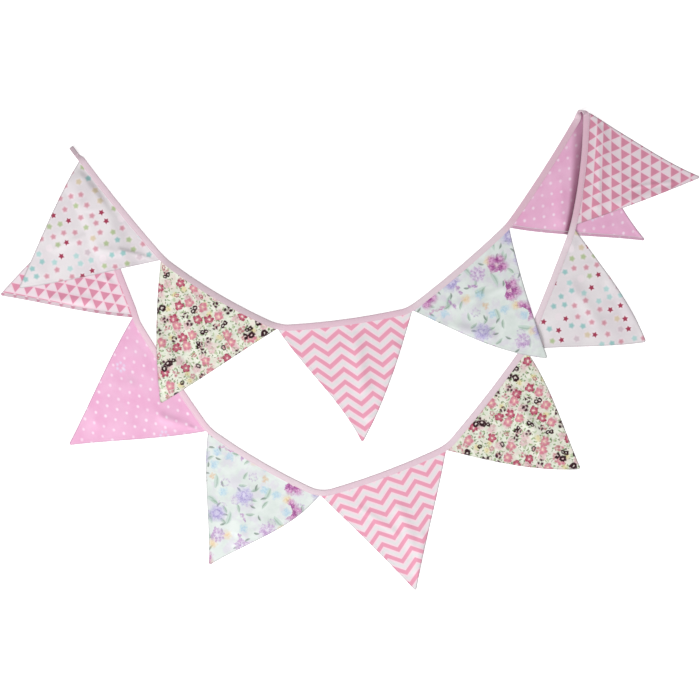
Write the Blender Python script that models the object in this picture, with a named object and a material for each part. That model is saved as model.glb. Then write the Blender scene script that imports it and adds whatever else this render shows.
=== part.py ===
"""Fabric bunting: twelve double-sided cotton flags held in one folded binding tape.

The string lies on a flat surface and is seen from above: +X to the right, +Y to the top, +Z up, the
surface at Z = 0. The tape runs along the top with five flags below it, turns over on its edge at the
top right, and comes back along the bottom with seven flags on its outer side. Its far end lies under
the first flag. Plan sizes below are in millimetres and MM turns them into metres.
"""
import math

import bmesh
import bpy
from mathutils import Vector

MM = 0.001

# Cloth and tape, in millimetres.
CLOTH = 1.0             # a flag: two layers of cotton, sewn and turned
TAPE_WIDTH = 12.0       # folded width of the binding tape
TAPE_WALL = 1.0         # one leaf of the folded tape
CLEAR = 0.3             # gap between a flag and each leaf
LAYER_GAP = 0.6         # gap left where one flag lies on another
TAPE_GAP = 0.8          # gap left where a flag lies over the tape
TAB_DEPTH = 10.0        # how far a flag's top edge reaches into the tape
TAB_TRIM = 6.0          # how far its hidden corners are trimmed back
TIP_WIDTH = 3.0         # the turned tips are blunt by this much

HALF_WIDTH = TAPE_WIDTH / 2
HALF_SLOT = CLOTH / 2 + CLEAR
HALF_THICK = HALF_SLOT + TAPE_WALL
FOLD_ROUND = 0.9        # rounding of the tape's folded edge
FOLD_INSIDE = 1.3       # cloth of the folded edge, measured across the tape

# Hanging loops: the closed tape is turned back on itself at both ends of the string.
LOOP_LENGTH = 30.0
LOOP_RETURN = 20.0
LOOP_HALF_WIDTH = 4.4
LOOP_HALF_SLOT = 0.15
LOOP_HALF_THICK = 1.0
LOOP_EYE = 1.0          # clear height inside the pressed loop
LOOP_BEND_STEPS = 6

# Lifts where cloth lies over something, in millimetres.
LIFT_CLOTH = CLOTH + LAYER_GAP
LIFT_TAPE = 2 * HALF_THICK + TAPE_GAP
LIFT_LOOP = 4 * LOOP_HALF_THICK + LOOP_EYE + TAPE_GAP
LIFT_MARGIN = 20.0      # the lift stays full this far outside what lies below
LIFT_RAMP = 30.0        # and falls away over this distance
TAPE_LIFT_MARGIN = 9.0
MOUTH_FALL = 15.0       # distance over which a flag comes down from the tape to the surface
TURN_LIFT = 1.0         # more lift at the turn, where cloth slips under the tape
TURN_LIFT_RISE = 12.0   # the lift starts this far before the turn
TURN_LIFT_FALL = 30.0   # and the extra lift is lost over this distance after it

GRID = 14               # divisions along each side of a flag
JOINT_STEPS = 3         # stations of the tape across a joint between flags
TURN_STEPS = 12         # stations along each half of the turn

# One row a flag, in the order in which they hang on the tape.
# edge_x0, edge_y0 and edge_x1, edge_y1: ends of the nearly straight stretch of the tape's folded edge
# bow: how far that stretch bows towards the flag
# tip_x, tip_y: the flag's free corner
# first_a, first_b and last_a, last_b: how far each side bows out at one and two thirds of its length
# gap: tape left free between this flag and the one before it
FLAGS = (
    # flag, edge_x0, edge_y0, edge_x1, edge_y1, bow, tip_x, tip_y, first_a, first_b, last_a, last_b, gap
    (1, -503.8, 364.4, -362.5, 189.6, 2.0, -625.5, 118.0, 4.2, 2.4, 2.0, 3.0, 0.0),
    (2, -338.6, 166.4, -154.5, 57.0, 5.6, -357.5, -100.5, 6.8, 6.8, 0.0, 1.0, 3.4),
    (3, -112.5, 47.5, 98.3, 76.5, 4.0, 25.0, -174.0, -1.2, -5.8, 6.0, 7.2, 3.4),
    (4, 129.9, 93.7, 283.5, 224.6, 2.5, 375.0, -15.5, 8.4, 11.6, -3.8, -3.6, 3.4),
    (5, 307.7, 252.1, 427.4, 439.1, 2.5, 560.0, 208.5, 2.9, 0.8, -5.5, -8.5, 3.4),
    (6, 444.2, 443.0, 426.0, 266.5, 4.0, 665.0, 327.5, 0.6, -2.8, 2.0, 2.0, 0.0),
    (7, 409.6, 205.0, 336.0, 21.0, 0.8, 562.5, 15.5, 5.8, 8.4, 0.2, 2.2, 11.0),
    (8, 317.5, -10.0, 192.5, -170.0, 2.2, 438.0, -226.0, 6.8, 4.0, 7.8, 9.6, 3.4),
    (9, 161.0, -191.5, -35.0, -264.5, 4.0, 125.9, -456.2, 0.7, -0.8, -1.4, -1.8, 3.4),
    (10, -73.0, -261.0, -249.3, -159.0, 4.5, -265.0, -407.5, 12.2, 6.4, 4.0, 1.0, 3.4),
    (11, -273.5, -135.5, -394.3, 49.0, 2.0, -531.0, -180.0, 2.8, 1.0, 2.7, 1.0, 5.4),
    (12, -406.0, 81.5, -485.1, 284.7, 0.4, -661.8, 104.0, 3.1, 1.4, 0.0, 1.0, 1.2),
)
LAST_BEFORE_TURN = 5

# Middle of the turn, where the tape stands on its edge, and the way that it runs there.
TURN_MIDDLE = (439.5, 453.0)
TURN_HEADING = (0.99, -0.14)
TURN_REACH = (26.0, 16.0)
TURN_ROLL = 0.92        # share of each half of the turn over which the tape rolls

# Corners caught in the turn, one row each: the cloth at a flag's first (0) or last (1) side swells
# out beside the tape by out_x and out_y, most at the share peak of the side.
CAUGHT = (
    # flag, side, out_x, out_y, peak, sharpness, spread
    (5, 1, 2.0, 27.0, 0.03, 1.5, 10),
    (6, 0, 0.0, 9.5, 0.05, 0.3, 3),
)

# Soft folds, one row each: across runs 0 to 1 along the tape, down runs 0 at the tape to 1 at the tip.
FOLDS = (
    # flag, across0, down0, across1, down1, half_width, height
    (1, 0.96, 0.04, 0.72, 0.30, 9.0, 3.5),
    (1, 0.10, 0.08, 0.34, 0.42, 13.0, 2.5),
    (2, 0.30, 0.10, 0.62, 0.46, 13.0, 3.0),
    (2, 0.90, 0.12, 0.70, 0.40, 11.0, 2.5),
    (3, 0.56, 0.10, 0.60, 0.55, 14.0, 3.0),
    (3, 0.96, 0.25, 0.80, 0.80, 10.0, 3.0),
    (4, 0.30, 0.30, 0.62, 0.16, 13.0, 3.0),
    (4, 0.04, 0.30, 0.14, 0.55, 10.0, 3.0),
    (5, 0.20, 0.30, 0.52, 0.12, 12.0, 2.5),
    (6, 0.12, 0.12, 0.86, 0.13, 9.0, 3.5),
    (6, 0.90, 0.30, 0.96, 0.75, 10.0, 3.0),
    (7, 0.40, 0.16, 0.62, 0.50, 13.0, 2.5),
    (7, 0.04, 0.45, 0.10, 0.80, 10.0, 3.0),
    (8, 0.42, 0.26, 0.55, 0.62, 13.0, 2.5),
    (9, 0.44, 0.30, 0.30, 0.66, 13.0, 3.0),
    (9, 0.10, 0.60, 0.20, 0.85, 9.0, 3.0),
    (10, 0.50, 0.20, 0.36, 0.60, 13.0, 3.0),
    (10, 0.12, 0.40, 0.20, 0.70, 10.0, 3.0),
    (11, 0.06, 0.05, 0.20, 0.22, 9.0, 3.5),
    (11, 0.66, 0.30, 0.56, 0.70, 13.0, 2.5),
    (12, 0.14, 0.30, 0.12, 0.60, 10.0, 2.5),
)

# Which flag lies over which other flag, and over which flag's stretch of tape.
OVER_FLAG = ((1, 12), (2, 11), (4, 7), (4, 8), (6, 5), (7, 5))
OVER_TAPE = ((1, 12), (2, 11), (4, 7), (4, 8))
TAPE_OVER_FLAG = 5      # the returning tape lies on this flag

COLOURS = {
    "stars": (0.80, 0.72, 0.74),
    "small_floral": (0.72, 0.75, 0.62),
    "chevron": (0.82, 0.50, 0.58),
    "watercolour_floral": (0.74, 0.76, 0.74),
    "dots": (0.80, 0.45, 0.62),
    "triangles": (0.78, 0.42, 0.52),
}
PRINTS = tuple(COLOURS)
TAPE_COLOUR = (0.76, 0.58, 0.66)
COTTON_ROUGHNESS = 0.9


def ease(value):
    """Smooth step from 0 to 1."""
    value = min(max(value, 0.0), 1.0)
    return value * value * (3 - 2 * value)


def right_of(heading):
    """Horizontal direction to the right of a heading."""
    return Vector((heading.y, -heading.x, 0)).normalized()


def hermite(start, start_pull, end, end_pull, value):
    """Point of the cubic that leaves start along start_pull and reaches end along end_pull."""
    square = value * value
    cube = square * value
    return (start * (2 * cube - 3 * square + 1) + start_pull * (cube - 2 * square + value)
            + end * (3 * square - 2 * cube) + end_pull * (cube - square))


def side_of(flag):
    """+1 where the flags lie to the right of the tape's heading, -1 after the turn."""
    return 1 if flag <= LAST_BEFORE_TURN else -1


def stretch(row):
    """Centre line of the tape along one flag: its ends and the pulls of its parabola there."""
    flag, x0, y0, x1, y1, bow = row[:6]
    start, end = Vector((x0, y0, 0)), Vector((x1, y1, 0))
    inward = right_of(end - start) * side_of(flag)
    shift = inward * HALF_WIDTH
    pull = inward * 4 * bow
    return start + shift, end - start + pull, end + shift, end - start - pull


def tape_route():
    """Dense centre line in plan, and the distances along it at which each stretch starts and ends."""
    points, marks = [], {}

    def add(start, start_pull, end, end_pull, steps):
        for step in range(steps):
            points.append(hermite(start, start_pull, end, end_pull, step / steps))

    ends = [stretch(row) for row in FLAGS]
    for index, row in enumerate(FLAGS):
        start, start_pull, end, end_pull = ends[index]
        first = len(points)
        add(start, start_pull, end, end_pull, 60)
        marks[row[0]] = (first, len(points))
        if index + 1 == len(FLAGS):
            points.append(end)
            continue
        after, after_pull = ends[index + 1][:2]
        if row[0] == LAST_BEFORE_TURN:
            middle = Vector((*TURN_MIDDLE, 0))
            heading = Vector((*TURN_HEADING, 0))
            add(end, end_pull.normalized() * TURN_REACH[0], middle, heading * TURN_REACH[0], 40)
            marks["turn"] = len(points)
            add(middle, heading * TURN_REACH[1], after, after_pull.normalized() * TURN_REACH[1], 40)
        else:
            reach = (after - end).length
            add(end, end_pull.normalized() * reach, after, after_pull.normalized() * reach, 30)
    along = [0.0]
    for before, here in zip(points, points[1:]):
        along.append(along[-1] + (here - before).length)
    return points, along, marks


POINTS, ALONG, MARKS = tape_route()


def point_at(distance):
    """Point of the centre line at a distance along it, with the heading there."""
    low, high = 0, len(ALONG) - 2
    while low < high:
        middle = (low + high + 1) // 2
        if ALONG[middle] <= distance:
            low = middle
        else:
            high = middle - 1
    before, here = POINTS[low], POINTS[low + 1]
    share = (distance - ALONG[low]) / (ALONG[low + 1] - ALONG[low])
    ahead, behind = POINTS[min(low + 2, len(POINTS) - 1)], POINTS[max(low - 1, 0)]
    heading = (here - behind).lerp(ahead - before, share).normalized()
    return before.lerp(here, share), heading


def flag_spans():
    """Distances along the tape between which each flag is held."""
    spans = {}
    gaps = {row[0]: row[-1] for row in FLAGS}
    for flag in gaps:
        first, last = MARKS[flag]
        start, end = ALONG[first], ALONG[last]
        if flag - 1 in MARKS and flag - 1 != LAST_BEFORE_TURN:
            start = (start + ALONG[MARKS[flag - 1][1]] + gaps[flag]) / 2
        if flag + 1 in MARKS and flag != LAST_BEFORE_TURN:
            end = (end + ALONG[MARKS[flag + 1][0]] - gaps[flag + 1]) / 2
        spans[flag] = (start, end)
    return spans


SPANS = flag_spans()
TURN_START = ALONG[MARKS[LAST_BEFORE_TURN][1]]
TURN_AT = ALONG[MARKS["turn"]]
TURN_END = ALONG[MARKS[LAST_BEFORE_TURN + 1][0]]


def twist_at(distance):
    """Roll of the tape about its own line: 0 before the turn, half a turn after it."""
    if distance <= TURN_AT:
        return math.pi / 2 * ease(1 - (TURN_AT - distance) / (TURN_AT - TURN_START) / TURN_ROLL)
    return math.pi / 2 * (1 + ease((distance - TURN_AT) / (TURN_END - TURN_AT) / TURN_ROLL))


def distance_to_segment(point, start, end):
    """Plan distance from a point to a segment."""
    span = end - start
    share = (point - start).dot(span) / max(span.length_squared, 1e-9)
    return (point - start - span * min(max(share, 0.0), 1.0)).length


def distance_to_outline(point, outline):
    """Plan distance from a point to an outline, 0 inside it."""
    inside, nearest = False, 1e9
    for start, end in zip(outline, outline[1:] + outline[:1]):
        nearest = min(nearest, distance_to_segment(point, start, end))
        if (start.y > point.y) != (end.y > point.y):
            if point.x < start.x + (point.y - start.y) * (end.x - start.x) / (end.y - start.y):
                inside = not inside
    return 0.0 if inside else nearest


def side_bow(bow_a, bow_b, down):
    """Bow of a side that passes bow_a at one third and bow_b at two thirds of its length."""
    return down * (1 - down) * (9 * bow_a - 4.5 * bow_b + 13.5 * (bow_b - bow_a) * down)


def mouth_point(flag, across):
    """Where a flag comes out of the tape, at a share of its top edge."""
    start, end = SPANS[flag]
    centre, heading = point_at(start + (end - start) * across)
    return centre + right_of(heading) * side_of(flag) * HALF_WIDTH


def flag_plan(row, across, down):
    """Plan place of a point of a flag, from the tape (down = 0) to the tip (down = 1)."""
    flag, tip = row[0], Vector((row[6], row[7], 0))
    first, last = mouth_point(flag, 0.0), mouth_point(flag, 1.0)
    outward = (last - first).normalized()
    place = mouth_point(flag, across).lerp(tip + outward * (across - 0.5) * TIP_WIDTH, down)
    first_side, last_side = (tip - first).normalized(), (tip - last).normalized()
    first_out = (-outward - first_side * first_side.dot(-outward)).normalized()
    last_out = (outward - last_side * last_side.dot(outward)).normalized()
    place += first_out * side_bow(row[8], row[9], down) * (1 - across)
    for caught, side, out_x, out_y, peak, sharpness, spread in CAUGHT:
        if caught == flag:
            swell = (down / peak * math.exp(1 - down / peak)) ** sharpness
            place += Vector((out_x, out_y, 0)) * swell * (across if side else 1 - across) ** spread
    place += last_out * side_bow(row[10], row[11], down) * across
    return place


def flag_outline(row, steps=12):
    """Outline of a flag in plan, once round from its first corner."""
    shares = [step / steps for step in range(steps)]
    outline = [flag_plan(row, share, 0.0) for share in shares]
    outline += [flag_plan(row, 1.0, share) for share in shares]
    outline += [flag_plan(row, 0.0, 1 - share) for share in shares]
    return outline


OUTLINES = {row[0]: flag_outline(row) for row in FLAGS}


def tape_lift(distance):
    """Height of the tape's underside above the surface."""
    begin = TURN_START - TURN_LIFT_RISE
    if distance <= begin:
        return 0.0
    risen = ease((distance - begin) / (TURN_AT - begin))
    left = 1 - ease((distance - TURN_END) / TURN_LIFT_FALL)
    clear = distance_to_outline(point_at(distance)[0], OUTLINES[TAPE_OVER_FLAG])
    raised = LIFT_CLOTH * (1 - ease((clear - TAPE_LIFT_MARGIN) / LIFT_MARGIN))
    return (max(raised, LIFT_CLOTH * left) + TURN_LIFT * left) * risen


def tape_frame(distance):
    """Centre of the tape, and the direction across it from the folded edge to its mouth."""
    centre, heading = point_at(distance)
    twist = twist_at(distance)
    across = right_of(heading) * math.cos(twist) - Vector((0, 0, 1)) * math.sin(twist)
    rise = HALF_THICK * abs(math.cos(twist)) + HALF_WIDTH * abs(math.sin(twist))
    return centre + Vector((0, 0, tape_lift(distance) + rise)), across, heading


def loop_axis(at_end):
    """Root of a hanging loop, the way that it points, and the direction across it."""
    distance = ALONG[-1] if at_end else 0.0
    centre, across, heading = tape_frame(distance)
    return centre, heading if at_end else -heading, across


def fold_height(row, across, down):
    """Height that the soft folds add at a point of a flag."""
    height = 0.0
    size = (mouth_point(row[0], 1.0) - mouth_point(row[0], 0.0)).length
    here = Vector(((across - 0.5) * (1 - down) * size, down * size, 0))
    for flag, across0, down0, across1, down1, half_width, lift in FOLDS:
        if flag != row[0]:
            continue
        start = Vector(((across0 - 0.5) * (1 - down0) * size, down0 * size, 0))
        end = Vector(((across1 - 0.5) * (1 - down1) * size, down1 * size, 0))
        height += lift * math.exp(-(distance_to_segment(here, start, end) / half_width) ** 2)
    return height


def lift_over(flag, place):
    """Height that a flag is held up by the cloth and the tape under it."""
    total = 0.0
    for upper, lower in OVER_FLAG:
        if upper == flag:
            clear = distance_to_outline(place, OUTLINES[lower])
            total = max(total, LIFT_CLOTH * (1 - ease((clear - LIFT_MARGIN) / LIFT_RAMP)))
    for upper, lower in OVER_TAPE:
        if upper == flag:
            first, last = MARKS[lower]
            last = min(last + 30, len(POINTS) - 1)
            line = POINTS[max(first - 30, 0):last + 1:6]
            clear = min(distance_to_segment(place, a, b) for a, b in zip(line, line[1:])) - HALF_WIDTH
            total = max(total, LIFT_TAPE * (1 - ease((clear - TAPE_LIFT_MARGIN) / LIFT_RAMP)))
    if flag == 1:
        root, way, _ = loop_axis(True)
        clear = distance_to_segment(place, root.xy.to_3d(), (root + way * LOOP_LENGTH).xy.to_3d())
        clear -= HALF_WIDTH
        total = max(total, LIFT_LOOP * (1 - ease((clear - TAPE_LIFT_MARGIN) / LIFT_RAMP)))
    return total


def flag_underside(row, across, down):
    """Height of a flag's lower face."""
    flag = row[0]
    start, end = SPANS[flag]
    held = tape_lift(start + (end - start) * across) + HALF_THICK - CLOTH / 2
    if down == 0:
        return held
    place = flag_plan(row, across, down)
    fall = 1 - ease((place - mouth_point(flag, across)).length / MOUTH_FALL)
    rest = max(lift_over(flag, place), 0.0) + fold_height(row, across, down) * ease(down * GRID / 3)
    return held * fall + rest * (1 - fall)


def new_material(name, colour):
    material = bpy.data.materials.new(name)
    material.use_nodes = True
    shader = material.node_tree.nodes["Principled BSDF"]
    shader.inputs["Base Color"].default_value = (*colour, 1)
    shader.inputs["Roughness"].default_value = COTTON_ROUGHNESS
    shader.inputs["Metallic"].default_value = 0.0
    return material


def finish(name, shape, colour):
    """Make one object of a bmesh, with faces pointing out and a material of its own."""
    bmesh.ops.recalc_face_normals(shape, faces=shape.faces)
    mesh = bpy.data.meshes.new(name)
    shape.to_mesh(mesh)
    shape.free()
    piece = bpy.data.objects.new(name, mesh)
    bpy.context.scene.collection.objects.link(piece)
    mesh.materials.append(new_material(name, colour))
    return piece


def make_flag(row):
    """A flag: a thin closed sheet, its top edge held between the leaves of the tape."""
    flag = row[0]
    shape = bmesh.new()
    start, end = SPANS[flag]

    def pair(place, low):
        """The lower and the upper point of the sheet at one place."""
        return [shape.verts.new((place.x * MM, place.y * MM, (low + rise) * MM)) for rise in (0, CLOTH)]

    tab = []
    for step in range(GRID + 1):
        trim = TAB_TRIM * (1 - 2 * step / GRID)
        centre, _, heading = tape_frame(start + (end - start) * step / GRID + trim)
        inward = right_of(heading) * side_of(flag)
        tab.append(pair(centre + inward * (HALF_WIDTH - TAB_DEPTH), centre.z - CLOTH / 2))
    rows = [tab]
    for line in range(GRID + 1):
        down = line / GRID
        count = GRID - line
        shares = [step / count for step in range(count + 1)] if count else [0.5]
        rows.append([pair(flag_plan(row, share, down), flag_underside(row, share, down))
                     for share in shares])
    for level in (0, 1):
        for upper, lower in zip(rows, rows[1:]):
            for step in range(len(upper) - 1):
                shape.faces.new([upper[step][level], upper[step + 1][level],
                                 lower[min(step, len(lower) - 1)][level]])
                if step + 1 < len(lower):
                    shape.faces.new([upper[step + 1][level], lower[step + 1][level],
                                     lower[step][level]])
    rim = list(tab) + [line[-1] for line in rows[1:]] + [line[0] for line in reversed(rows[1:-1])]
    for here, after in zip(rim, rim[1:] + rim[:1]):
        shape.faces.new([here[0], after[0], after[1], here[1]])
    return finish(f"flag_{flag:02d}", shape, COLOURS[PRINTS[(flag - 1) % len(PRINTS)]])


def tape_section(half_width, half_slot, half_thick):
    """Folded section of the tape: (across, up) points, open towards the flags."""
    inside = -half_width + FOLD_INSIDE
    return ((half_width, half_thick), (-half_width + FOLD_ROUND, half_thick),
            (-half_width, half_thick * 0.4), (-half_width, -half_thick * 0.4),
            (-half_width + FOLD_ROUND, -half_thick), (half_width, -half_thick),
            (half_width, -half_slot), (inside, -half_slot), (inside, half_slot),
            (half_width, half_slot))


def loop_stations(at_end):
    """Stations of a hanging loop, from the tape outwards and back to its sewn end."""
    root, way, across = loop_axis(at_end)
    up = Vector((0, 0, 1))
    thin = (LOOP_HALF_WIDTH, LOOP_HALF_SLOT, LOOP_HALF_THICK)
    full = (HALF_WIDTH, HALF_SLOT, HALF_THICK)
    low = root + across * (HALF_WIDTH - LOOP_HALF_WIDTH) + up * (LOOP_HALF_THICK - root.z)
    bend = LOOP_HALF_THICK + LOOP_EYE / 2
    stations = []
    for share in (0.12, 0.24, 0.36):
        change = ease(share / 0.36)
        size = [a + (b - a) * change for a, b in zip(full, thin)]
        place = root + way * LOOP_LENGTH * share + across * (HALF_WIDTH - size[0])
        stations.append((place + up * (size[2] - root.z), across, way, size))
    for share in (0.6, 0.9):
        stations.append((low + way * LOOP_LENGTH * share, across, way, thin))
    tip = low + way * (LOOP_LENGTH - bend)
    for step in range(LOOP_BEND_STEPS + 1):
        turn = math.pi * step / LOOP_BEND_STEPS
        place = tip + way * bend * math.sin(turn) + up * bend * (1 - math.cos(turn))
        stations.append((place, across, way * math.cos(turn) + up * math.sin(turn), thin))
    top = tip + up * 2 * bend
    for share in (0.5, 1.0):
        stations.append((top - way * (LOOP_RETURN - bend) * share, across, -way, thin))
    return stations


def tape_stations():
    """Stations of the whole tape: place, direction across, heading and section size."""
    full = (HALF_WIDTH, HALF_SLOT, HALF_THICK)
    distances = [0.0]
    for row in FLAGS:
        start, end = SPANS[row[0]]
        if start > distances[-1] and row[0] - 1 != LAST_BEFORE_TURN:
            before = distances[-1]
            distances += [before + (start - before) * step / (JOINT_STEPS + 1)
                          for step in range(1, JOINT_STEPS + 1)]
        distances += [start + (end - start) * step / GRID for step in range(GRID + 1)]
        if row[0] == LAST_BEFORE_TURN:
            for first, last in ((end, TURN_AT), (TURN_AT, TURN_END)):
                distances += [first + (last - first) * step / TURN_STEPS
                              for step in range(1, TURN_STEPS + 1)]
    distances = sorted(set(distances + [ALONG[-1]]))
    kept = [distances[0]]
    for distance in distances[1:]:
        if distance - kept[-1] > CLEAR:
            kept.append(distance)
    stations = []
    for distance in kept:
        centre, across, heading = tape_frame(distance)
        stations.append((centre, across, heading, full))
    opening = [(place, across, -way, size) for place, across, way, size in loop_stations(False)]
    return opening[::-1] + stations + loop_stations(True)


def make_tape():
    """The binding tape: one folded strip from loop to loop."""
    shape = bmesh.new()
    rings = []
    for centre, across, heading, size in tape_stations():
        up = across.cross(heading).normalized()
        rings.append([shape.verts.new((centre + across * wide + up * high) * MM)
                      for wide, high in tape_section(*size)])
    for before, here in zip(rings, rings[1:]):
        for index in range(len(here)):
            after = (index + 1) % len(here)
            shape.faces.new([before[index], before[after], here[after], here[index]])
    for ring in (rings[0], rings[-1]):
        upper, lower = ring[:3] + ring[8:], ring[3:8]
        shape.faces.new([upper[0], upper[1], upper[2], upper[3], upper[4]])
        shape.faces.new([lower[0], lower[1], lower[2], lower[3], lower[4]])
        shape.faces.new([ring[2], ring[3], ring[7], ring[8]])
    return finish("binding_tape", shape, TAPE_COLOUR)


def centre_on_origin(pieces):
    """Move the whole string so that the middle of its plan is the origin."""
    corners = [vertex.co for piece in pieces for vertex in piece.data.vertices]
    middle = Vector([(min(c[axis] for c in corners) + max(c[axis] for c in corners)) / 2
                     for axis in (0, 1)] + [0])
    for piece in pieces:
        for vertex in piece.data.vertices:
            vertex.co -= middle
    return middle


def main():
    for old in list(bpy.data.objects):
        bpy.data.objects.remove(old, do_unlink=True)
    pieces = [make_flag(row) for row in FLAGS] + [make_tape()]
    centre_on_origin(pieces)


main()
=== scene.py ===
"""Fabric bunting: the looks of a string of twelve printed cotton flags in a folded binding tape.

The string lies on a pale surface and is seen from straight above. Plan places below are in
millimetres from the tables' own origin, the same tables as in the part's source, and MM and
PLAN_MIDDLE turn them into the frame's metres.
"""

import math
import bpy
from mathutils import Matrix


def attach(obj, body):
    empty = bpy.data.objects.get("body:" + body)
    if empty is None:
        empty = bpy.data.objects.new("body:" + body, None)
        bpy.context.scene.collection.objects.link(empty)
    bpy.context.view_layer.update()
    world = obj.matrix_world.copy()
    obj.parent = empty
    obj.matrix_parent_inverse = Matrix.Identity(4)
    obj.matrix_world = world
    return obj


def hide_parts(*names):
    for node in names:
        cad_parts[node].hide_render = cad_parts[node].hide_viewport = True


bl_info = {
    "name": "Fabric bunting",
    "version": (1, 0, 0),
    "blender": (4, 5, 0),
    "location": "View3D > Sidebar > Bunting",
    "description": "Builds a string of printed cotton flags in a folded tape, with its stage",
    "category": "Object",
}

import bmesh
import bpy
import numpy as np
from mathutils import Vector, noise

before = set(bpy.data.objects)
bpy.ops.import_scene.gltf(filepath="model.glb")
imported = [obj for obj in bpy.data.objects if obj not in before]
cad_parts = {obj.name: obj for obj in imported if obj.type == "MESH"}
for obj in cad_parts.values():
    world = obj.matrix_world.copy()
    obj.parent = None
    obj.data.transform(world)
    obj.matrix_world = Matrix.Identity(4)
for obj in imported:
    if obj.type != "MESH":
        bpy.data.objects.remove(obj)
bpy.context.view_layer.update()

MM = 0.001
PLAN_MIDDLE = np.array((1.6, -0.67))    # the middle of the string in the tables' own places

# ---------------------------------------------------------------- cloth and tape, in millimetres
TAPE_WIDTH = 12.0
HALF_WIDTH = TAPE_WIDTH / 2
HALF_THICK = 1.5        # half the sewn tape's thickness
TAB_DEPTH = 10.0        # how far a flag's top edge reaches into the tape
TAB_TRIM = 6.0          # how far its hidden corners are trimmed back
TIP_WIDTH = 3.0         # the turned tips are blunt by this much
STITCH_ACROSS = 4.5     # the stitching's distance from the middle of the tape, towards its mouth

LOOP_LENGTH = 30.0
LOOP_RETURN = 20.0      # how far the end of a loop comes back over its start
LOOP_HALF_WIDTH = 4.4
LOOP_HALF_THICK = 1.0
LOOP_EYE = 1.0          # clear height inside a loop
LOOP_BEND_STEPS = 14
LOOP_TAPER = 0.36       # share of a loop's length over which the tape narrows to it
LOOP_TAPER_STEPS = 9
LOOP_OUT_STEPS = 10
LOOP_OUT_START = 0.4    # share of its length at which its even width starts
LOOP_BACK_STEPS = 9
LOOP_BACK_START = 0.12  # share of the returning part at which its own stations start

LIFT_CLOTH = 1.6        # a flag's height over the flag below it
LIFT_TAPE = 4.4         # its height over the tape
LIFT_LOOP = 5.8         # and over the hidden hanging loop
LIFT_MARGIN = 20.0      # distance around what lies below that keeps the full height
LIFT_RAMP = 30.0        # distance over which the height then falls away
TAPE_LIFT_MARGIN = 9.0  # the same margin around the tape
MOUTH_FALL = 15.0       # distance over which a flag falls from the tape to the surface
TURN_LIFT = 1.0         # more lift at the turn, where cloth slips under the tape
TURN_LIFT_RISE = 12.0
TURN_LIFT_FALL = 30.0

# One row a flag, in the order in which they hang on the tape.
FLAGS = (
    # flag, edge_x0, edge_y0, edge_x1, edge_y1, bow, tip_x, tip_y, first_a, first_b, last_a, last_b, gap
    (1, -503.8, 364.4, -362.5, 189.6, 2.0, -625.5, 118.0, 4.2, 2.4, 2.0, 3.0, 0.0),
    (2, -338.6, 166.4, -154.5, 57.0, 5.6, -357.5, -100.5, 6.8, 6.8, 0.0, 1.0, 3.4),
    (3, -112.5, 47.5, 98.3, 76.5, 4.0, 25.0, -174.0, -1.2, -5.8, 6.0, 7.2, 3.4),
    (4, 129.9, 93.7, 283.5, 224.6, 2.5, 375.0, -15.5, 8.4, 11.6, -3.8, -3.6, 3.4),
    (5, 307.7, 252.1, 427.4, 439.1, 2.5, 560.0, 208.5, 2.9, 0.8, -5.5, -8.5, 3.4),
    (6, 444.2, 443.0, 426.0, 266.5, 4.0, 665.0, 327.5, 0.6, -2.8, 2.0, 2.0, 0.0),
    (7, 409.6, 205.0, 336.0, 21.0, 0.8, 562.5, 15.5, 5.8, 8.4, 0.2, 2.2, 11.0),
    (8, 317.5, -10.0, 192.5, -170.0, 2.2, 438.0, -226.0, 6.8, 4.0, 7.8, 9.6, 3.4),
    (9, 161.0, -191.5, -35.0, -264.5, 4.0, 125.9, -456.2, 0.7, -0.8, -1.4, -1.8, 3.4),
    (10, -73.0, -261.0, -249.3, -159.0, 4.5, -265.0, -407.5, 12.2, 6.4, 4.0, 1.0, 3.4),
    (11, -273.5, -135.5, -394.3, 49.0, 2.0, -531.0, -180.0, 2.8, 1.0, 2.7, 1.0, 5.4),
    (12, -406.0, 81.5, -485.1, 284.7, 0.4, -661.8, 104.0, 3.1, 1.4, 0.0, 1.0, 1.2),
)
LAST_BEFORE_TURN = 5
TURN_MIDDLE = (439.5, 453.0)
TURN_HEADING = (0.99, -0.14)
TURN_REACH = (26.0, 16.0)   # pulls of the centre line before and after the middle of the turn
TURN_ROLL = 0.92            # share of the way to the middle over which the tape rolls over

# Points of the centre line: along a flag, between two flags, and on each side of the turn.
STRETCH_POINTS = 60
GAP_POINTS = 30
TURN_POINTS = 40
SPARSE = 6              # every sixth point is enough to measure distances from

# Corners caught in the turn: the cloth at a flag's first (0) or last (1) side swells out beside the
# tape by out_x and out_y, most at the share peak of the side.
CAUGHT = (
    # flag, side, out_x, out_y, peak, sharpness, spread
    (5, 1, -1.2, 7.2, 0.02, 1.5, 10),
    (5, 1, 0.4, 24.6, 0.05, 1.5, 10),
    (6, 0, -7.0, 9.5, 0.045, 0.5, 3),
)

FOLD_GROWTH = 14 / 3    # folds reach their height over the length of the flag divided by this
CREASE_GROWTH = 20.0    # and creases over this distance from the tape

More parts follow.
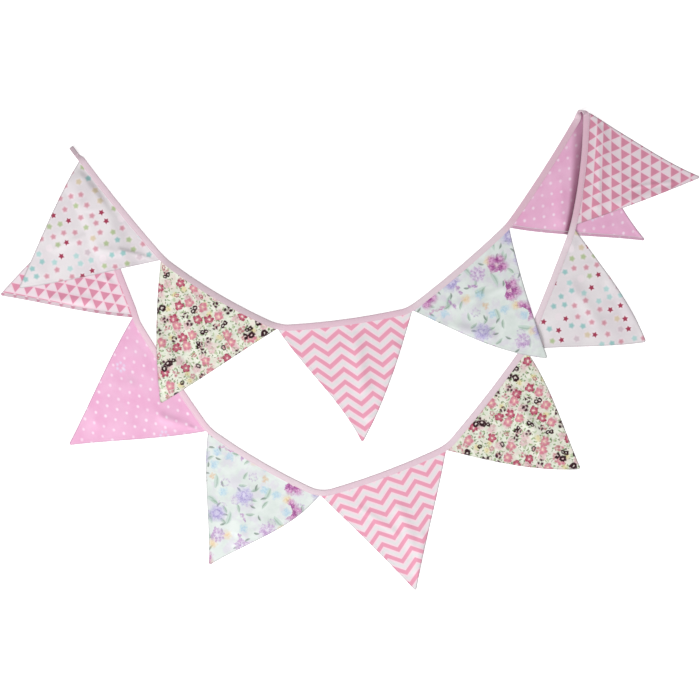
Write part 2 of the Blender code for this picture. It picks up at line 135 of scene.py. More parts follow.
# Soft folds: across runs 0 to 1 along the tape, down runs 0 at the tape to 1 at the tip.
FOLDS = (
    # flag, across0, down0, across1, down1, half_width, height
    (1, 0.96, 0.04, 0.72, 0.30, 9.0, 2.2),
    (1, 0.10, 0.08, 0.34, 0.42, 17.0, 1.8),
    (2, 0.30, 0.10, 0.62, 0.46, 13.0, 3.0),
    (2, 0.90, 0.12, 0.70, 0.40, 11.0, 2.5),
    (3, 0.56, 0.10, 0.60, 0.55, 14.0, 3.0),
    (3, 0.96, 0.25, 0.80, 0.80, 10.0, 3.0),
    (4, 0.30, 0.30, 0.62, 0.16, 13.0, 3.0),
    (4, 0.04, 0.30, 0.14, 0.55, 10.0, 3.0),
    (5, 0.20, 0.30, 0.52, 0.12, 12.0, 2.5),
    (6, 0.12, 0.12, 0.86, 0.13, 9.0, 3.5),
    (6, 0.90, 0.30, 0.96, 0.75, 10.0, 3.0),
    (7, 0.40, 0.16, 0.62, 0.50, 13.0, 2.5),
    (7, 0.04, 0.45, 0.10, 0.80, 10.0, 3.0),
    (8, 0.42, 0.26, 0.55, 0.62, 13.0, 2.5),
    (9, 0.44, 0.30, 0.30, 0.66, 13.0, 3.0),
    (9, 0.10, 0.60, 0.20, 0.85, 9.0, 3.0),
    (10, 0.50, 0.20, 0.36, 0.60, 13.0, 3.0),
    (10, 0.12, 0.40, 0.20, 0.70, 10.0, 3.0),
    (11, 0.06, 0.05, 0.20, 0.22, 9.0, 3.5),
    (11, 0.66, 0.30, 0.56, 0.70, 13.0, 2.5),
    (12, 0.14, 0.30, 0.12, 0.60, 10.0, 2.5),
)

# Sharper creases of the outer layer, from one plan place to another.
CREASES = (
    # flag, x0, y0, x1, y1, half_width, height
    (1, -435.0, 189.0, -372.0, 172.0, 3.5, 1.6),
    (1, -560.0, 190.0, -505.0, 215.0, 6.0, 1.2),
    (2, -300.0, 118.0, -262.0, 20.0, 5.0, 1.2),
    (4, 160.0, 70.0, 300.0, 120.0, 6.0, 1.3),
    (6, 472.0, 428.0, 474.0, 300.0, 3.6, 1.8),
    (6, 533.0, 307.0, 613.0, 318.0, 4.0, 1.8),
    (8, 300.0, -60.0, 352.0, -150.0, 6.0, 1.2),
    (9, 20.0, -300.0, 92.0, -352.0, 6.0, 1.2),
    (11, -303.0, -147.0, -274.0, -155.0, 3.0, 1.5),
    (12, -463.0, 134.0, -440.0, 118.0, 5.0, 1.4),
)

# The returning tape presses the cloth under it down, and the cloth swells up in a bank beside it.
BANK_HEIGHT = 9.0
BANK_REACH = 42.0
BANK_GROWTH = 30.0          # distance from the flag's own edge over which the bank grows
BANK_START = 10             # points of the centre line from the turn to the start of the bank
BANK_CHANGE = 1.2           # how fast the first of each pair below gives way to the second
BANK_FALL = (9.0, 3.6)      # width of the slope at the tape, just after the turn and at its other end
# The gutter beside the tape also gets a painted shade, a darker pink laid into the print where shade
# falls.
BANK_SHADE_WIDTH = (26.0, 9.0)     # width of the painted shade in the slope, in the same two places
BANK_SHADE = (0.5, 0.9)     # strength of that painted shade there
BANK_SHADE_FADE = 0.7       # share of its width over which it fades

# Prints drawn in where the cloth is gathered beside the tape: by x and y at the tape, nothing at
# reach from it, and at the flag's last side by the share left of that.
DRAWN_IN = (
    # flag, x, y, reach, left
    (6, 16.5, 0.0, 40.0, 0.0),
    (6, 0.0, 11.8, 70.0, 1.0),
)

# Flags whose first sewn side has rolled to the front.
ROLLED = (5, 12)

# Painted light and shade on the one tape: stretches beside some of the flags made paler, greyer and
# pinker.
TAPE_PAINTED_LIGHT = (
    # flag, tint, share
    (2, "8F8080", 0.27), (3, "E4AAC4", 0.3), (4, "E6E2E4", 0.2), (5, "E4AAC4", 0.42),
    (6, "E4AAC4", 0.5), (7, "FFFFFF", 0.2), (8, "FFFFFF", 0.07), (9, "E4AAC4", 0.12),
    (10, "E6E2E4", 0.2), (11, "F8C4DA", 0.35), (12, "E4AAC4", 0.45),
)

# Which flag lies on which, which on the tape that holds which, and the flag that the tape lies on.
OVER_FLAG = ((1, 12), (2, 11), (4, 7), (4, 8), (6, 5), (7, 5))
OVER_TAPE = ((1, 12), (2, 11), (4, 7), (4, 8))
TAPE_OVER_FLAG = 5

PRINTS = ("stars", "small_floral", "chevron", "watercolour_floral", "dots", "triangles")

# Where each print lies on its flag: a corner of the print, one repeat along it and one repeat up it.
PRINT_PLACES = (
    # flag, corner_x, corner_y, along_x, along_y, up_x, up_y
    (1, -540.0, 120.0, 20.4, 6.2, -6.2, 20.4),
    (2, -300.0, 40.0, 17.6, 5.4, -5.4, 17.6),
    (3, -45.4, 33.8, 49.9, 1.75, -3.2, 23.9),
    (4, 240.0, 60.0, 24.0, 11.0, -11.0, 24.0),
    (5, 376.0, 284.1, 18.2, 3.6, -1.9, 20.1),
    (6, 534.8, 371.0, 0.0, 22.4, 18.8, 0.0),
    (7, 460.0, 60.0, 21.0, 3.7, -3.7, 21.0),
    (8, 330.0, -120.0, 16.6, -8.0, 8.0, 16.6),
    (9, 94.3, -236.0, 46.8, 15.7, -7.9, 22.1),
    (10, -190.0, -250.0, 25.0, -8.6, 8.6, 25.0),
    (11, -427.8, -87.9, 18.4, -6.8, 2.85, 19.4),
    (12, -598.6, 119.0, 22.0, -4.5, -3.7, -17.9),
)

# How finely a flag is divided: rows across it, and the columns that follow its two sewn sides.
MAIN_ROWS = 92
SIDE_COLUMNS = (0.0, 0.5, 1.1, 1.9, 3.0, 4.3, 5.6, 6.4, 7.6)
SIDE_SLANT = 0.9        # distance square to a sewn side for a distance along a row
TAPE_STEP = 1.6         # distance between the tape's stations
TURN_STATIONS = 90
TURN_MARGIN = 4.0       # the turn's own stations start and end this far from it

CLOTH = 0.8             # two layers of cotton
EDGE_BULGE = 0.3        # how far the turned edges round outwards
EDGE_ROUND = 2.2        # width over which the upper layer rounds down to a sewn side
SEAM_EXTRA = 0.55       # the seam allowances inside a side that has rolled to the front
SEAM_PLAIN = 0.3        # the share of them that shows along the other sides
SEAM_WIDTH = 5.0
SEAM_FADE = 1.4
EDGE_RISE = 0.25        # how far the lower layer rises to a sewn side
EDGE_RISE_WIDTH = 1.2
SEAM_PLACE = 5.4        # distance of a rolled side's seam from its edge
OPENING = 30.0          # the layers part over the length of the flag divided by this
TIP_START = 2.1         # the tip starts where a flag is this many bands of SIDE_COLUMNS wide
FAR = 20.0              # a distance from the sewn sides that counts as away from them

# Unevenness of lying cotton.
WAVE_HEIGHT = 1.4
WAVE_MIDDLE = 0.5
WAVE_AT_SIDE = 0.3      # the share of it that a sewn side keeps
WAVE_SIDE_REACH = 30.0
WAVES = (
    # size, share, seed_step, seed_start
    (62.0, 0.75, 7.3, 0.0),
    (27.0, 0.22, 3.1, 40.0),
    (11.0, 0.06, 5.7, 80.0),
)
COVER_MARGIN = 4.0      # cloth lies still under other cloth and this far around it
COVER_FADE = 22.0
RIPPLE_SIZE = 5.5       # small ripples along the sewn sides
RIPPLE_HEIGHT = 0.16
RIPPLE_REACH = 5.0
GATHER_SPACING = 6.5    # small gathers at the tape
GATHER_HEIGHT = 0.14
GATHER_REACH = 9.0
GATHER_SWAY = 2.0       # how uneven their spacing is
GATHER_SWAY_PACE = 17.0
PRINT_WANDER = 0.9      # how far a print wanders from straight
PRINT_WANDER_SIZE = 45.0


def ease(value):
    """Smooth step from 0 to 1."""
    value = np.clip(value, 0.0, 1.0)
    return value * value * (3 - 2 * value)


def nearness(clear, margin, fade):
    """1 up to a margin from something, falling smoothly to 0 over the distance fade."""
    return 1 - ease((clear - margin) / fade)


def unit(way):
    """Directions made one long, along the last axis."""
    return way / np.maximum(np.linalg.norm(way, axis=-1, keepdims=True), 1e-12)


def right_of(heading):
    """Plan directions to the right of plan headings."""
    return unit(np.stack([heading[..., 1], -heading[..., 0]], -1))


def hermite(start, start_pull, end, end_pull, shares):
    """Points of the cubic that leaves start along start_pull and reaches end along end_pull."""
    value = np.asarray(shares)[:, None]
    square = value * value
    cube = square * value
    return (start * (2 * cube - 3 * square + 1) + start_pull * (cube - 2 * square + value)
            + end * (3 * square - 2 * cube) + end_pull * (cube - square))


def side_of(flag):
    """+1 where the flags lie to the right of the tape's heading, -1 after the turn."""
    return 1 if flag <= LAST_BEFORE_TURN else -1


def stretch(row):
    """Centre line of the tape along one flag: its ends and the pulls of its parabola there."""
    flag, x0, y0, x1, y1, bow = row[:6]
    start, end = np.array((x0, y0)), np.array((x1, y1))
    inward = right_of(end - start) * side_of(flag)
    shift = inward * HALF_WIDTH
    pull = inward * 4 * bow
    return start + shift, end - start + pull, end + shift, end - start - pull


def tape_route():
    """Dense centre line in plan, and the point numbers at which each stretch starts and ends."""
    parts, marks, total = [], {}, 0
    ends = [stretch(row) for row in FLAGS]
    for index, row in enumerate(FLAGS):
        start, start_pull, end, end_pull = ends[index]
        parts.append(hermite(start, start_pull, end, end_pull,
                             np.arange(STRETCH_POINTS) / STRETCH_POINTS))
        marks[row[0]] = (total, total + STRETCH_POINTS)
        total += STRETCH_POINTS
        if index + 1 == len(FLAGS):
            parts.append(end[None])
            continue
        after, after_pull = ends[index + 1][:2]
        if row[0] == LAST_BEFORE_TURN:
            middle, heading = np.array(TURN_MIDDLE), np.array(TURN_HEADING)
            shares = np.arange(TURN_POINTS) / TURN_POINTS
            parts.append(hermite(end, unit(end_pull) * TURN_REACH[0], middle,
                                 heading * TURN_REACH[0], shares))
            marks["turn"] = total + TURN_POINTS
            parts.append(hermite(middle, heading * TURN_REACH[1], after,
                                 unit(after_pull) * TURN_REACH[1], shares))
            total += 2 * TURN_POINTS
        else:
            reach = np.linalg.norm(after - end)
            parts.append(hermite(end, unit(end_pull) * reach, after, unit(after_pull) * reach,
                                 np.arange(GAP_POINTS) / GAP_POINTS))
            total += GAP_POINTS
    points = np.concatenate(parts)
    along = np.concatenate([[0.0], np.cumsum(np.linalg.norm(np.diff(points, axis=0), axis=1))])
    return points, along, marks


POINTS, ALONG, MARKS = tape_route()
HEADINGS = unit(np.gradient(POINTS, ALONG, axis=0))
LENGTH = ALONG[-1]


def point_at(distance):
    """Points of the centre line at distances along it, with the headings there."""
    place = np.stack([np.interp(distance, ALONG, POINTS[:, axis]) for axis in (0, 1)], -1)
    heading = np.stack([np.interp(distance, ALONG, HEADINGS[:, axis]) for axis in (0, 1)], -1)
    return place, unit(heading)


def flag_spans():
    """Distances along the tape between which each flag is held."""
    spans = {}
    gaps = {row[0]: row[-1] for row in FLAGS}
    for flag in gaps:
        first, last = MARKS[flag]
        start, end = ALONG[first], ALONG[last]
        if flag - 1 in MARKS and flag - 1 != LAST_BEFORE_TURN:
            start = (start + ALONG[MARKS[flag - 1][1]] + gaps[flag]) / 2
        if flag + 1 in MARKS and flag != LAST_BEFORE_TURN:
            end = (end + ALONG[MARKS[flag + 1][0]] - gaps[flag + 1]) / 2
        spans[flag] = (start, end)
    return spans


SPANS = flag_spans()
TURN_START = ALONG[MARKS[LAST_BEFORE_TURN][1]]
TURN_AT = ALONG[MARKS["turn"]]
TURN_END = ALONG[MARKS[LAST_BEFORE_TURN + 1][0]]


def twist_at(distance):
    """Roll of the tape about its own line: 0 before the turn, half a turn after it."""
    before = ease(1 - (TURN_AT - distance) / (TURN_AT - TURN_START) / TURN_ROLL)
    after = ease((distance - TURN_AT) / (TURN_END - TURN_AT) / TURN_ROLL)
    return math.pi / 2 * np.where(distance <= TURN_AT, before, 1 + after)


def distance_to_path(places, path):
    """Least plan distance from each place to a run of straight segments."""
    starts, ends = path[:-1], path[1:]
    span = ends - starts
    offset = places[:, None] - starts[None]
    share = (offset * span).sum(-1) / np.maximum((span * span).sum(-1), 1e-9)
    gap = offset - span * np.clip(share, 0, 1)[..., None]
    return np.linalg.norm(gap, axis=-1).min(1)


def clear_of_tape(places, line):
    """Least plan distance from each place to the edge of a tape that runs along a line."""
    return distance_to_path(places, line) - HALF_WIDTH


def distance_to_outline(places, outline):
    """Plan distance from each place to a closed outline, 0 inside it."""
    closed = np.concatenate([outline, outline[:1]])
    nearest = distance_to_path(places, closed)
    start, end = closed[:-1], closed[1:]
    x, y = places[:, :1], places[:, 1:]
    straddles = (start[:, 1] > y) != (end[:, 1] > y)
    rise = np.where(end[:, 1] == start[:, 1], 1e-9, end[:, 1] - start[:, 1])
    crosses = straddles & (x < start[:, 0] + (y - start[:, 1]) * (end - start)[:, 0] / rise)
    return np.where(crosses.sum(1) % 2 == 1, 0.0, nearest)


def side_bow(bow_a, bow_b, down):
    """Bow of a side that passes bow_a at one third and bow_b at two thirds of its length."""
    return down * (1 - down) * (9 * bow_a - 4.5 * bow_b + 13.5 * (bow_b - bow_a) * down)


def mouth_point(flag, across):
    """Where a flag comes out of the tape, at shares of its top edge."""
    start, end = SPANS[flag]
    centre, heading = point_at(start + (end - start) * np.asarray(across))
    return centre + right_of(heading) * side_of(flag) * HALF_WIDTH


def flag_plan(row, across, down):
    """Plan places of points of a flag, from the tape (down = 0) to the tip (down = 1)."""
    flag, tip = row[0], np.array((row[6], row[7]))
    across, down = np.atleast_1d(across)[:, None], np.atleast_1d(down)[:, None]
    first, last = mouth_point(flag, 0.0), mouth_point(flag, 1.0)
    outward = unit(last - first)
    tips = tip + outward * (across - 0.5) * TIP_WIDTH
    place = mouth_point(flag, across[:, 0]) * (1 - down) + tips * down
    first_side, last_side = unit(tip - first), unit(tip - last)
    first_out = unit(-outward - first_side * (first_side @ -outward))
    last_out = unit(outward - last_side * (last_side @ outward))
    place = place + first_out * side_bow(row[8], row[9], down) * (1 - across)
    for caught, side, out_x, out_y, peak, sharpness, spread in CAUGHT:
        if caught == flag:
            swell = (down / peak * np.exp(1 - down / peak)) ** sharpness
            swell = swell * (across if side else 1 - across) ** spread
            place = place + np.array((out_x, out_y)) * swell
    return place + last_out * side_bow(row[10], row[11], down) * across


def flag_outline(row, steps=12):
    """Outline of a flag in plan, once round from its first corner."""
    shares = np.arange(steps) / steps
    return np.concatenate([flag_plan(row, shares, shares * 0), flag_plan(row, shares * 0 + 1, shares),
                           flag_plan(row, shares * 0, 1 - shares)])


OUTLINES = {row[0]: flag_outline(row) for row in FLAGS}


def tape_lift(distance):
    """Height of the tape's underside above the surface."""
    distance = np.atleast_1d(distance)
    begin = TURN_START - TURN_LIFT_RISE
    risen = ease((distance - begin) / (TURN_AT - begin))
    left = 1 - ease((distance - TURN_END) / TURN_LIFT_FALL)
    clear = distance_to_outline(point_at(distance)[0], OUTLINES[TAPE_OVER_FLAG])
    raised = LIFT_CLOTH * nearness(clear, TAPE_LIFT_MARGIN, LIFT_MARGIN)
    return (np.maximum(raised, LIFT_CLOTH * left) + TURN_LIFT * left) * risen


def tape_frame(distance):
    """Centres of the tape, and the directions across it, from the folded edge to its mouth."""
    distance = np.atleast_1d(distance)
    centre, heading = point_at(distance)
    twist = twist_at(distance)[:, None]
    flat = right_of(heading)
    across = np.concatenate([flat * np.cos(twist), -np.sin(twist)], 1)
    rise = HALF_THICK * np.abs(np.cos(twist[:, 0])) + HALF_WIDTH * np.abs(np.sin(twist[:, 0]))
    place = np.concatenate([centre, (tape_lift(distance) + rise)[:, None]], 1)
    return place, across, np.concatenate([heading, heading[:, :1] * 0], 1)


def loop_axis(at_end):
    """Root of a hanging loop, the way that it points, and the direction across it."""
    place, across, heading = tape_frame(LENGTH if at_end else 0.0)
    return place[0], heading[0] if at_end else -heading[0], across[0]


def lift_over(flag, places):
    """Height that a flag is held up by the cloth and the tape under it."""
    total = np.zeros(len(places))
    for upper, lower in OVER_FLAG:
        if upper == flag:
            clear = distance_to_outline(places, OUTLINES[lower])
            total = np.maximum(total, LIFT_CLOTH * nearness(clear, LIFT_MARGIN, LIFT_RAMP))
    for upper, lower in OVER_TAPE:
        if upper == flag:
            first, last = MARKS[lower]
            line = POINTS[max(first - GAP_POINTS, 0):last + GAP_POINTS + 1:SPARSE]
            clear = clear_of_tape(places, line)
            total = np.maximum(total, LIFT_TAPE * nearness(clear, TAPE_LIFT_MARGIN, LIFT_RAMP))
    if flag == 1:
        root, way, _ = loop_axis(True)
        line = np.stack([root[:2], (root + way * LOOP_LENGTH)[:2]])
        clear = clear_of_tape(places, line)
        total = np.maximum(total, LIFT_LOOP * nearness(clear, TAPE_LIFT_MARGIN, LIFT_RAMP))
    return total


def fold_height(row, across, down):
    """Height that the soft folds add at points of a flag."""
    size = np.linalg.norm(mouth_point(row[0], 1.0) - mouth_point(row[0], 0.0))
    here = np.stack([(across - 0.5) * (1 - down) * size, down * size], 1)
    height = np.zeros(len(here))
    for flag, across0, down0, across1, down1, half_width, lift in FOLDS:
        if flag == row[0]:
            ends = np.array((((across0 - 0.5) * (1 - down0), down0),
                             ((across1 - 0.5) * (1 - down1), down1))) * size
            height += lift * np.exp(-(distance_to_path(here, ends) / half_width) ** 2)
    return height


def crease_height(flag, places):
    """Height that the sharper creases add at plan places of a flag."""
    height = np.zeros(len(places))
    for creased, x0, y0, x1, y1, half_width, lift in CREASES:
        if creased == flag:
            line = np.array(((x0, y0), (x1, y1)))
            ridge = lift * np.exp(-(distance_to_path(places, line) / half_width) ** 2)
            height = np.maximum(height, ridge)
    return height


def returning_tape(after_turn):
    """Points of the tape from soon after the turn to where it leaves the flag that it lies on."""
    return POINTS[MARKS["turn"] + after_turn:MARKS[LAST_BEFORE_TURN + 2][0] + GAP_POINTS:SPARSE]


def bank_of(places):
    """Height of the cloth on the outer side of the tape that presses it down, and the strength of a
    painted shade in the gutter beside the tape.
    """
    line = returning_tape(BANK_START)
    clear = np.maximum(clear_of_tape(places, line), 0.0)
    x, y = places[:, 0], places[:, 1]
    outer = x < np.interp(y, line[::-1, 1], line[::-1, 0])
    share = ease((line[0, 1] - y) / (line[0, 1] - line[-1, 1]) * BANK_CHANGE)
    fall = BANK_FALL[0] + (BANK_FALL[1] - BANK_FALL[0]) * share
    height = BANK_HEIGHT * (1 - np.exp(-clear / fall)) * np.exp(-(clear / BANK_REACH) ** 2)
    shade_width = BANK_SHADE_WIDTH[0] + (BANK_SHADE_WIDTH[1] - BANK_SHADE_WIDTH[0]) * share
    strength = BANK_SHADE[0] + (BANK_SHADE[1] - BANK_SHADE[0]) * share
    return outer * height, outer * ease((1 - clear / shade_width) / BANK_SHADE_FADE) * strength


def covered(flag, places):
    """1 where other cloth or the tape lies on a flag, falling to 0 away from it."""
    share = np.zeros(len(places))
    for upper, lower in OVER_FLAG:
        if lower == flag:
            clear = distance_to_outline(places, OUTLINES[upper])
            share = np.maximum(share, nearness(clear, COVER_MARGIN, COVER_FADE))
    if flag == TAPE_OVER_FLAG:
        clear = clear_of_tape(places, returning_tape(0))
        share = np.maximum(share, nearness(clear, COVER_MARGIN, COVER_FADE))
    return share


def plan_noise(places, size, seed):
    """Smooth noise over plan places, from about -1 to 1, with features of the given size."""
    return np.array([noise.noise(Vector((x / size, y / size, seed))) for x, y in places])


def cloth_wave(places, flag):
    """Slow unevenness of lying cotton, from 0 to about 1, with a little that is finer."""
    height = np.full(len(places), WAVE_MIDDLE)
    for size, share, seed_step, seed_start in WAVES:
        height += share * plan_noise(places, size, flag * seed_step + seed_start)
    return np.maximum(height, 0.0)


def flag_underside(row, across, down, places, from_side):
    """Heights of a flag's lower face."""
    flag = row[0]
    start, end = SPANS[flag]
    held = tape_lift(start + (end - start) * across) + HALF_THICK - CLOTH / 2
    away = np.linalg.norm(places - mouth_point(flag, across), axis=1)
    fall = np.where(down == 0, 1.0, 1 - ease(away / MOUTH_FALL))
    free = 1 - covered(flag, places)
    edge = WAVE_AT_SIDE + (1 - WAVE_AT_SIDE) * ease(from_side / WAVE_SIDE_REACH)
    rest = lift_over(flag, places) + fold_height(row, across, down) * ease(down * FOLD_GROWTH)
    rest += crease_height(flag, places) * ease(away / CREASE_GROWTH)
    rest += WAVE_HEIGHT * cloth_wave(places, flag) * free * edge
    if flag == TAPE_OVER_FLAG:
        rest += bank_of(places)[0] * ease(away / BANK_GROWTH)
    ripple = np.abs(plan_noise(places, RIPPLE_SIZE, flag * 11.0))
    rest += RIPPLE_HEIGHT * ripple * np.exp(-from_side / RIPPLE_REACH) * free
    sway = GATHER_SWAY * np.sin(across * GATHER_SWAY_PACE)
    gather = np.sin(across * (end - start) / GATHER_SPACING + sway)
    gather *= GATHER_HEIGHT * np.exp(-away / GATHER_REACH) * ease(away / 2) * free
    return held * fall + rest * (1 - fall) + gather


# ---------------------------------------------------------------- meshes
def to_frame(points):
    """Plan millimetres turned into the frame's metres."""
    points = np.array(points, float)
    points[:, :2] -= PLAN_MIDDLE
    return points * MM


def new_piece(name, points, faces, outwards=True):
    """A smooth object of points in metres and faces, which are turned outwards where asked."""
    mesh = bpy.data.meshes.new(name)
    mesh.from_pydata([tuple(point) for point in points], [], faces)
    if outwards:
        shape = bmesh.new()
        shape.from_mesh(mesh)
        bmesh.ops.recalc_face_normals(shape, faces=shape.faces)
        shape.to_mesh(mesh)
        shape.free()
    mesh.shade_smooth()
    piece = bpy.data.objects.new(name, mesh)
    bpy.context.scene.collection.objects.link(piece)
    return piece


def add_map(mesh, name, values):
    """A UV map with one value a vertex."""
    corners = np.empty(len(mesh.loops), np.int64)
    mesh.loops.foreach_get("vertex_index", corners)
    layer = mesh.uv_layers.new(name=name)
    layer.uv.foreach_set("vector", np.asarray(values, np.float32)[corners].ravel())
    return layer


def add_value(mesh, name, values):
    """A number at each vertex, which a material may read."""
    attribute = mesh.attributes.new(name, "FLOAT", "POINT")
    attribute.data.foreach_set("value", values.astype(np.float32))


def side_distances(count, width):
    """Distances from the first side of a row's points, close together near both sewn sides."""
    steps = np.diff(SIDE_COLUMNS)
    number = np.arange(count)
    near = np.minimum(number, count - 1 - number)
    weights = np.where(near < len(steps), steps[np.minimum(near, len(steps) - 1)], 0.0)
    inner = near >= len(steps)
    if inner.any():
        weights[inner] = (width - weights.sum()) / inner.sum()
    else:
        weights *= width / weights.sum()
    return np.concatenate([[0.0], np.cumsum(weights)])


def layer_heights(row, across, down, plan, from_side, from_rolled):
    """Heights of a flag's lower and upper layer, which draw together along the sewn sides."""
    low = flag_underside(row, across, down, plan, from_side)
    out_of_tape = ease(down * OPENING)
    seam = np.where(from_rolled < FAR, SEAM_EXTRA, SEAM_EXTRA * SEAM_PLAIN)
    seam = seam * nearness(from_side, SEAM_WIDTH, SEAM_FADE) * out_of_tape
    rounding = 1 - np.sqrt(1 - np.clip(1 - from_side / EDGE_ROUND, 0, 1) ** 2)
    high = low + CLOTH + seam - CLOTH * rounding * out_of_tape
    return low + EDGE_RISE * np.clip(1 - from_side / EDGE_RISE_WIDTH, 0, 1), high


def flag_rows(row):
    """Rows of a flag's grid: share down, shares across, distances from the first and nearer side."""
    count = MAIN_ROWS + 2 * (len(SIDE_COLUMNS) - 1)
    start, end = SPANS[row[0]]
    span = end - start
    narrow = 1 - TIP_START * SIDE_COLUMNS[-1] / span
    rows = []
    for line in range(count):
        if line < MAIN_ROWS:
            down = narrow * line / MAIN_ROWS
        else:
            down = narrow + (1 - narrow) * (line - MAIN_ROWS) / (count - MAIN_ROWS)
        width = span * (1 - down) + TIP_WIDTH * down
        distances = side_distances(count - line, width)
        rows.append((down, distances / width, distances, np.minimum(distances, width - distances)))
    rows.append((1.0, np.array([0.5]), np.array([TIP_WIDTH / 2]), np.array([0.0])))
    return rows


def tab_rows(flag, shares):
    """Plan places and middle heights of the two rows of a flag's top edge inside the tape."""
    start, end = SPANS[flag]
    places, middles = [], []
    for depth in (TAB_DEPTH, TAB_DEPTH / 2):
        trim = TAB_TRIM * (1 - 2 * shares) * depth / TAB_DEPTH
        centre, _, heading = tape_frame(start + (end - start) * shares + trim)
        inward = right_of(heading[:, :2]) * side_of(flag)
        places.append(centre[:, :2] + inward * (HALF_WIDTH - depth))
        middles.append(centre[:, 2])
    return places, np.concatenate(middles)


def grid_faces(lines):
    """Faces between rows of points, each as long as the row before it or one point shorter."""
    faces = []
    for upper, lower in zip(lines, lines[1:]):
        for step in range(len(upper) - 1):
            if len(upper) == len(lower):
                faces.append((upper[step], upper[step + 1], lower[step + 1], lower[step]))
                continue
            faces.append((upper[step], upper[step + 1], lower[step]))
            if step + 1 < len(lower):
                faces.append((upper[step + 1], lower[step + 1], lower[step]))
    return faces


def rim_faces(rim, total):
    """Faces that join the two layers' rims by way of a ring of points between them."""
    faces = []
    for step, point in enumerate(rim):
        after = (step + 1) % len(rim)
        here, there = 2 * total + step, 2 * total + after
        faces.append((point, rim[after], there, here))
        faces.append((here, there, rim[after] + total, point + total))
    return faces


def rounded_rim(plan, low, high):
    """Points halfway between the two layers' rims and a little outside them."""
    outward = -right_of(np.roll(plan, -1, 0) - np.roll(plan, 1, 0))
    turn = np.cross(plan[1] - plan[0], plan[len(plan) // 2] - plan[0])
    outward *= 1 if turn < 0 else -1
    return np.column_stack([plan + outward * EDGE_BULGE, (low + high) / 2])


def print_map(flag, flat):
    """Places of a flag's points in its print, counted in repeats."""
    place = next(item for item in PRINT_PLACES if item[0] == flag)
    repeats = np.linalg.inv(np.array((place[3:5], place[5:7])).T)
    wander = [plan_noise(flat, PRINT_WANDER_SIZE, flag + shift) for shift in (0.0, 50.0)]
    drawn = flat + np.stack(wander, 1) * PRINT_WANDER
    line = POINTS[MARKS[flag][0]:MARKS[flag][1]]
    way = line[-1] - line[0]
    share = np.clip((flat - line[0]) @ way / (way @ way), 0, 1)
    for gathered, x, y, reach, left in DRAWN_IN:
        if gathered == flag:
            near = nearness(clear_of_tape(flat, line[::SPARSE]), 0.0, reach)
            drawn -= (near * (1 + (left - 1) * share))[:, None] * (x, y)
    return (drawn - place[1:3]) @ repeats.T


def make_flag(row):
    """A flag: two layers of printed cotton sewn along two sides, its top edge in the tape."""
    flag = row[0]
    downs, shares, firsts, nearest = zip(*flag_rows(row))
    counts = [len(part) for part in shares]
    across, down = np.concatenate(shares), np.repeat(downs, counts)
    from_first = np.concatenate(firsts) * SIDE_SLANT
    from_side = np.concatenate(nearest) * SIDE_SLANT
    from_rolled = from_first if flag in ROLLED else np.full(len(across), FAR)
    plan = flag_plan(row, across, down)
    low, high = layer_heights(row, across, down, plan, from_side, from_rolled)

    tabs, middles = tab_rows(flag, shares[0])
    plan = np.concatenate(tabs + [plan])
    low = np.concatenate([middles - CLOTH / 2, low])
    high = np.concatenate([middles + CLOTH / 2, high])

    lines, first = [], 0
    for count in [counts[0]] * len(tabs) + counts:
        lines.append(list(range(first, first + count)))
        first += count
    total = first
    faces = grid_faces(lines)
    faces += [tuple(point + total for point in face) for face in faces]
    rim = lines[0] + [line[-1] for line in lines[1:]] + [line[0] for line in reversed(lines[1:-1])]
    faces += rim_faces(rim, total)

    points = np.concatenate([np.column_stack([plan, low]), np.column_stack([plan, high]),
                             rounded_rim(plan[rim], low[rim], high[rim])])
    piece = new_piece(f"cotton_flag_{flag:02d}", to_frame(points), faces)
    mesh, flat = piece.data, points[:, :2]
    add_map(mesh, "cut", (flat - PLAN_MIDDLE) * MM)
    add_map(mesh, "print", print_map(flag, flat))

    hidden, rims = np.full(2 * counts[0], FAR), np.zeros(len(rim))
    sides = np.concatenate([hidden, from_side])
    rolled = np.concatenate([hidden, from_rolled])
    add_value(mesh, "from_side", np.concatenate([sides, sides, rims]))
    add_value(mesh, "from_rolled", np.concatenate([rolled, rolled, rims + FAR]))
    # Painted shade in the gutter beside the returning tape, for the material to lay.
    add_value(mesh, "bank_painted_shade", bank_of(flat)[1] * (flag == TAPE_OVER_FLAG))
    return piece


# ---------------------------------------------------------------- the tape
UPPER_LEAF = (
    # across, height: from the upper lip over the middle to the fold
    (6.0, 0.95), (5.85, 1.2), (5.3, 1.32), (4.8, 1.24), (4.5, 1.1), (4.2, 1.24), (3.4, 1.42),
    (2.0, 1.5), (0.0, 1.5), (-2.0, 1.47), (-3.6, 1.36), (-4.8, 1.1), (-5.6, 0.7), (-6.0, 0.2),
)
INSIDE = (
    (5.9, -0.55), (4.5, -0.5), (2.0, -0.62), (-2.0, -0.62), (-4.2, -0.5), (-4.6, 0.0), (-4.2, 0.5),
    (-2.0, 0.62), (2.0, 0.62), (4.5, 0.5), (5.9, 0.55),
)
SECTION = UPPER_LEAF + tuple((wide, -high) for wide, high in reversed(UPPER_LEAF)) + INSIDE
OUTER_POINTS = 2 * len(UPPER_LEAF)      # the first of them, which show from outside
FOLD_PLACE = 0.0131     # the fold's distance from the upper lip, round the section, in metres
PUCKER_SPACING = 6.5
PUCKER_DEPTH = 0.34
PUCKER_SLANT = (9.0, 14.0)      # how far across the tape a pucker reaches before it shifts and ends
PUCKER_SEEDS = (3.0, 9.0)       # on the upper leaf and on the lower leaf
PUCKER_EDGE = (5.9, 2.5)        # none beyond this distance from the middle, and growing over this
FOLD_SWAY = 0.25        # how far the folded edge wanders from straight
FOLD_SWAY_SPACING = 23.0


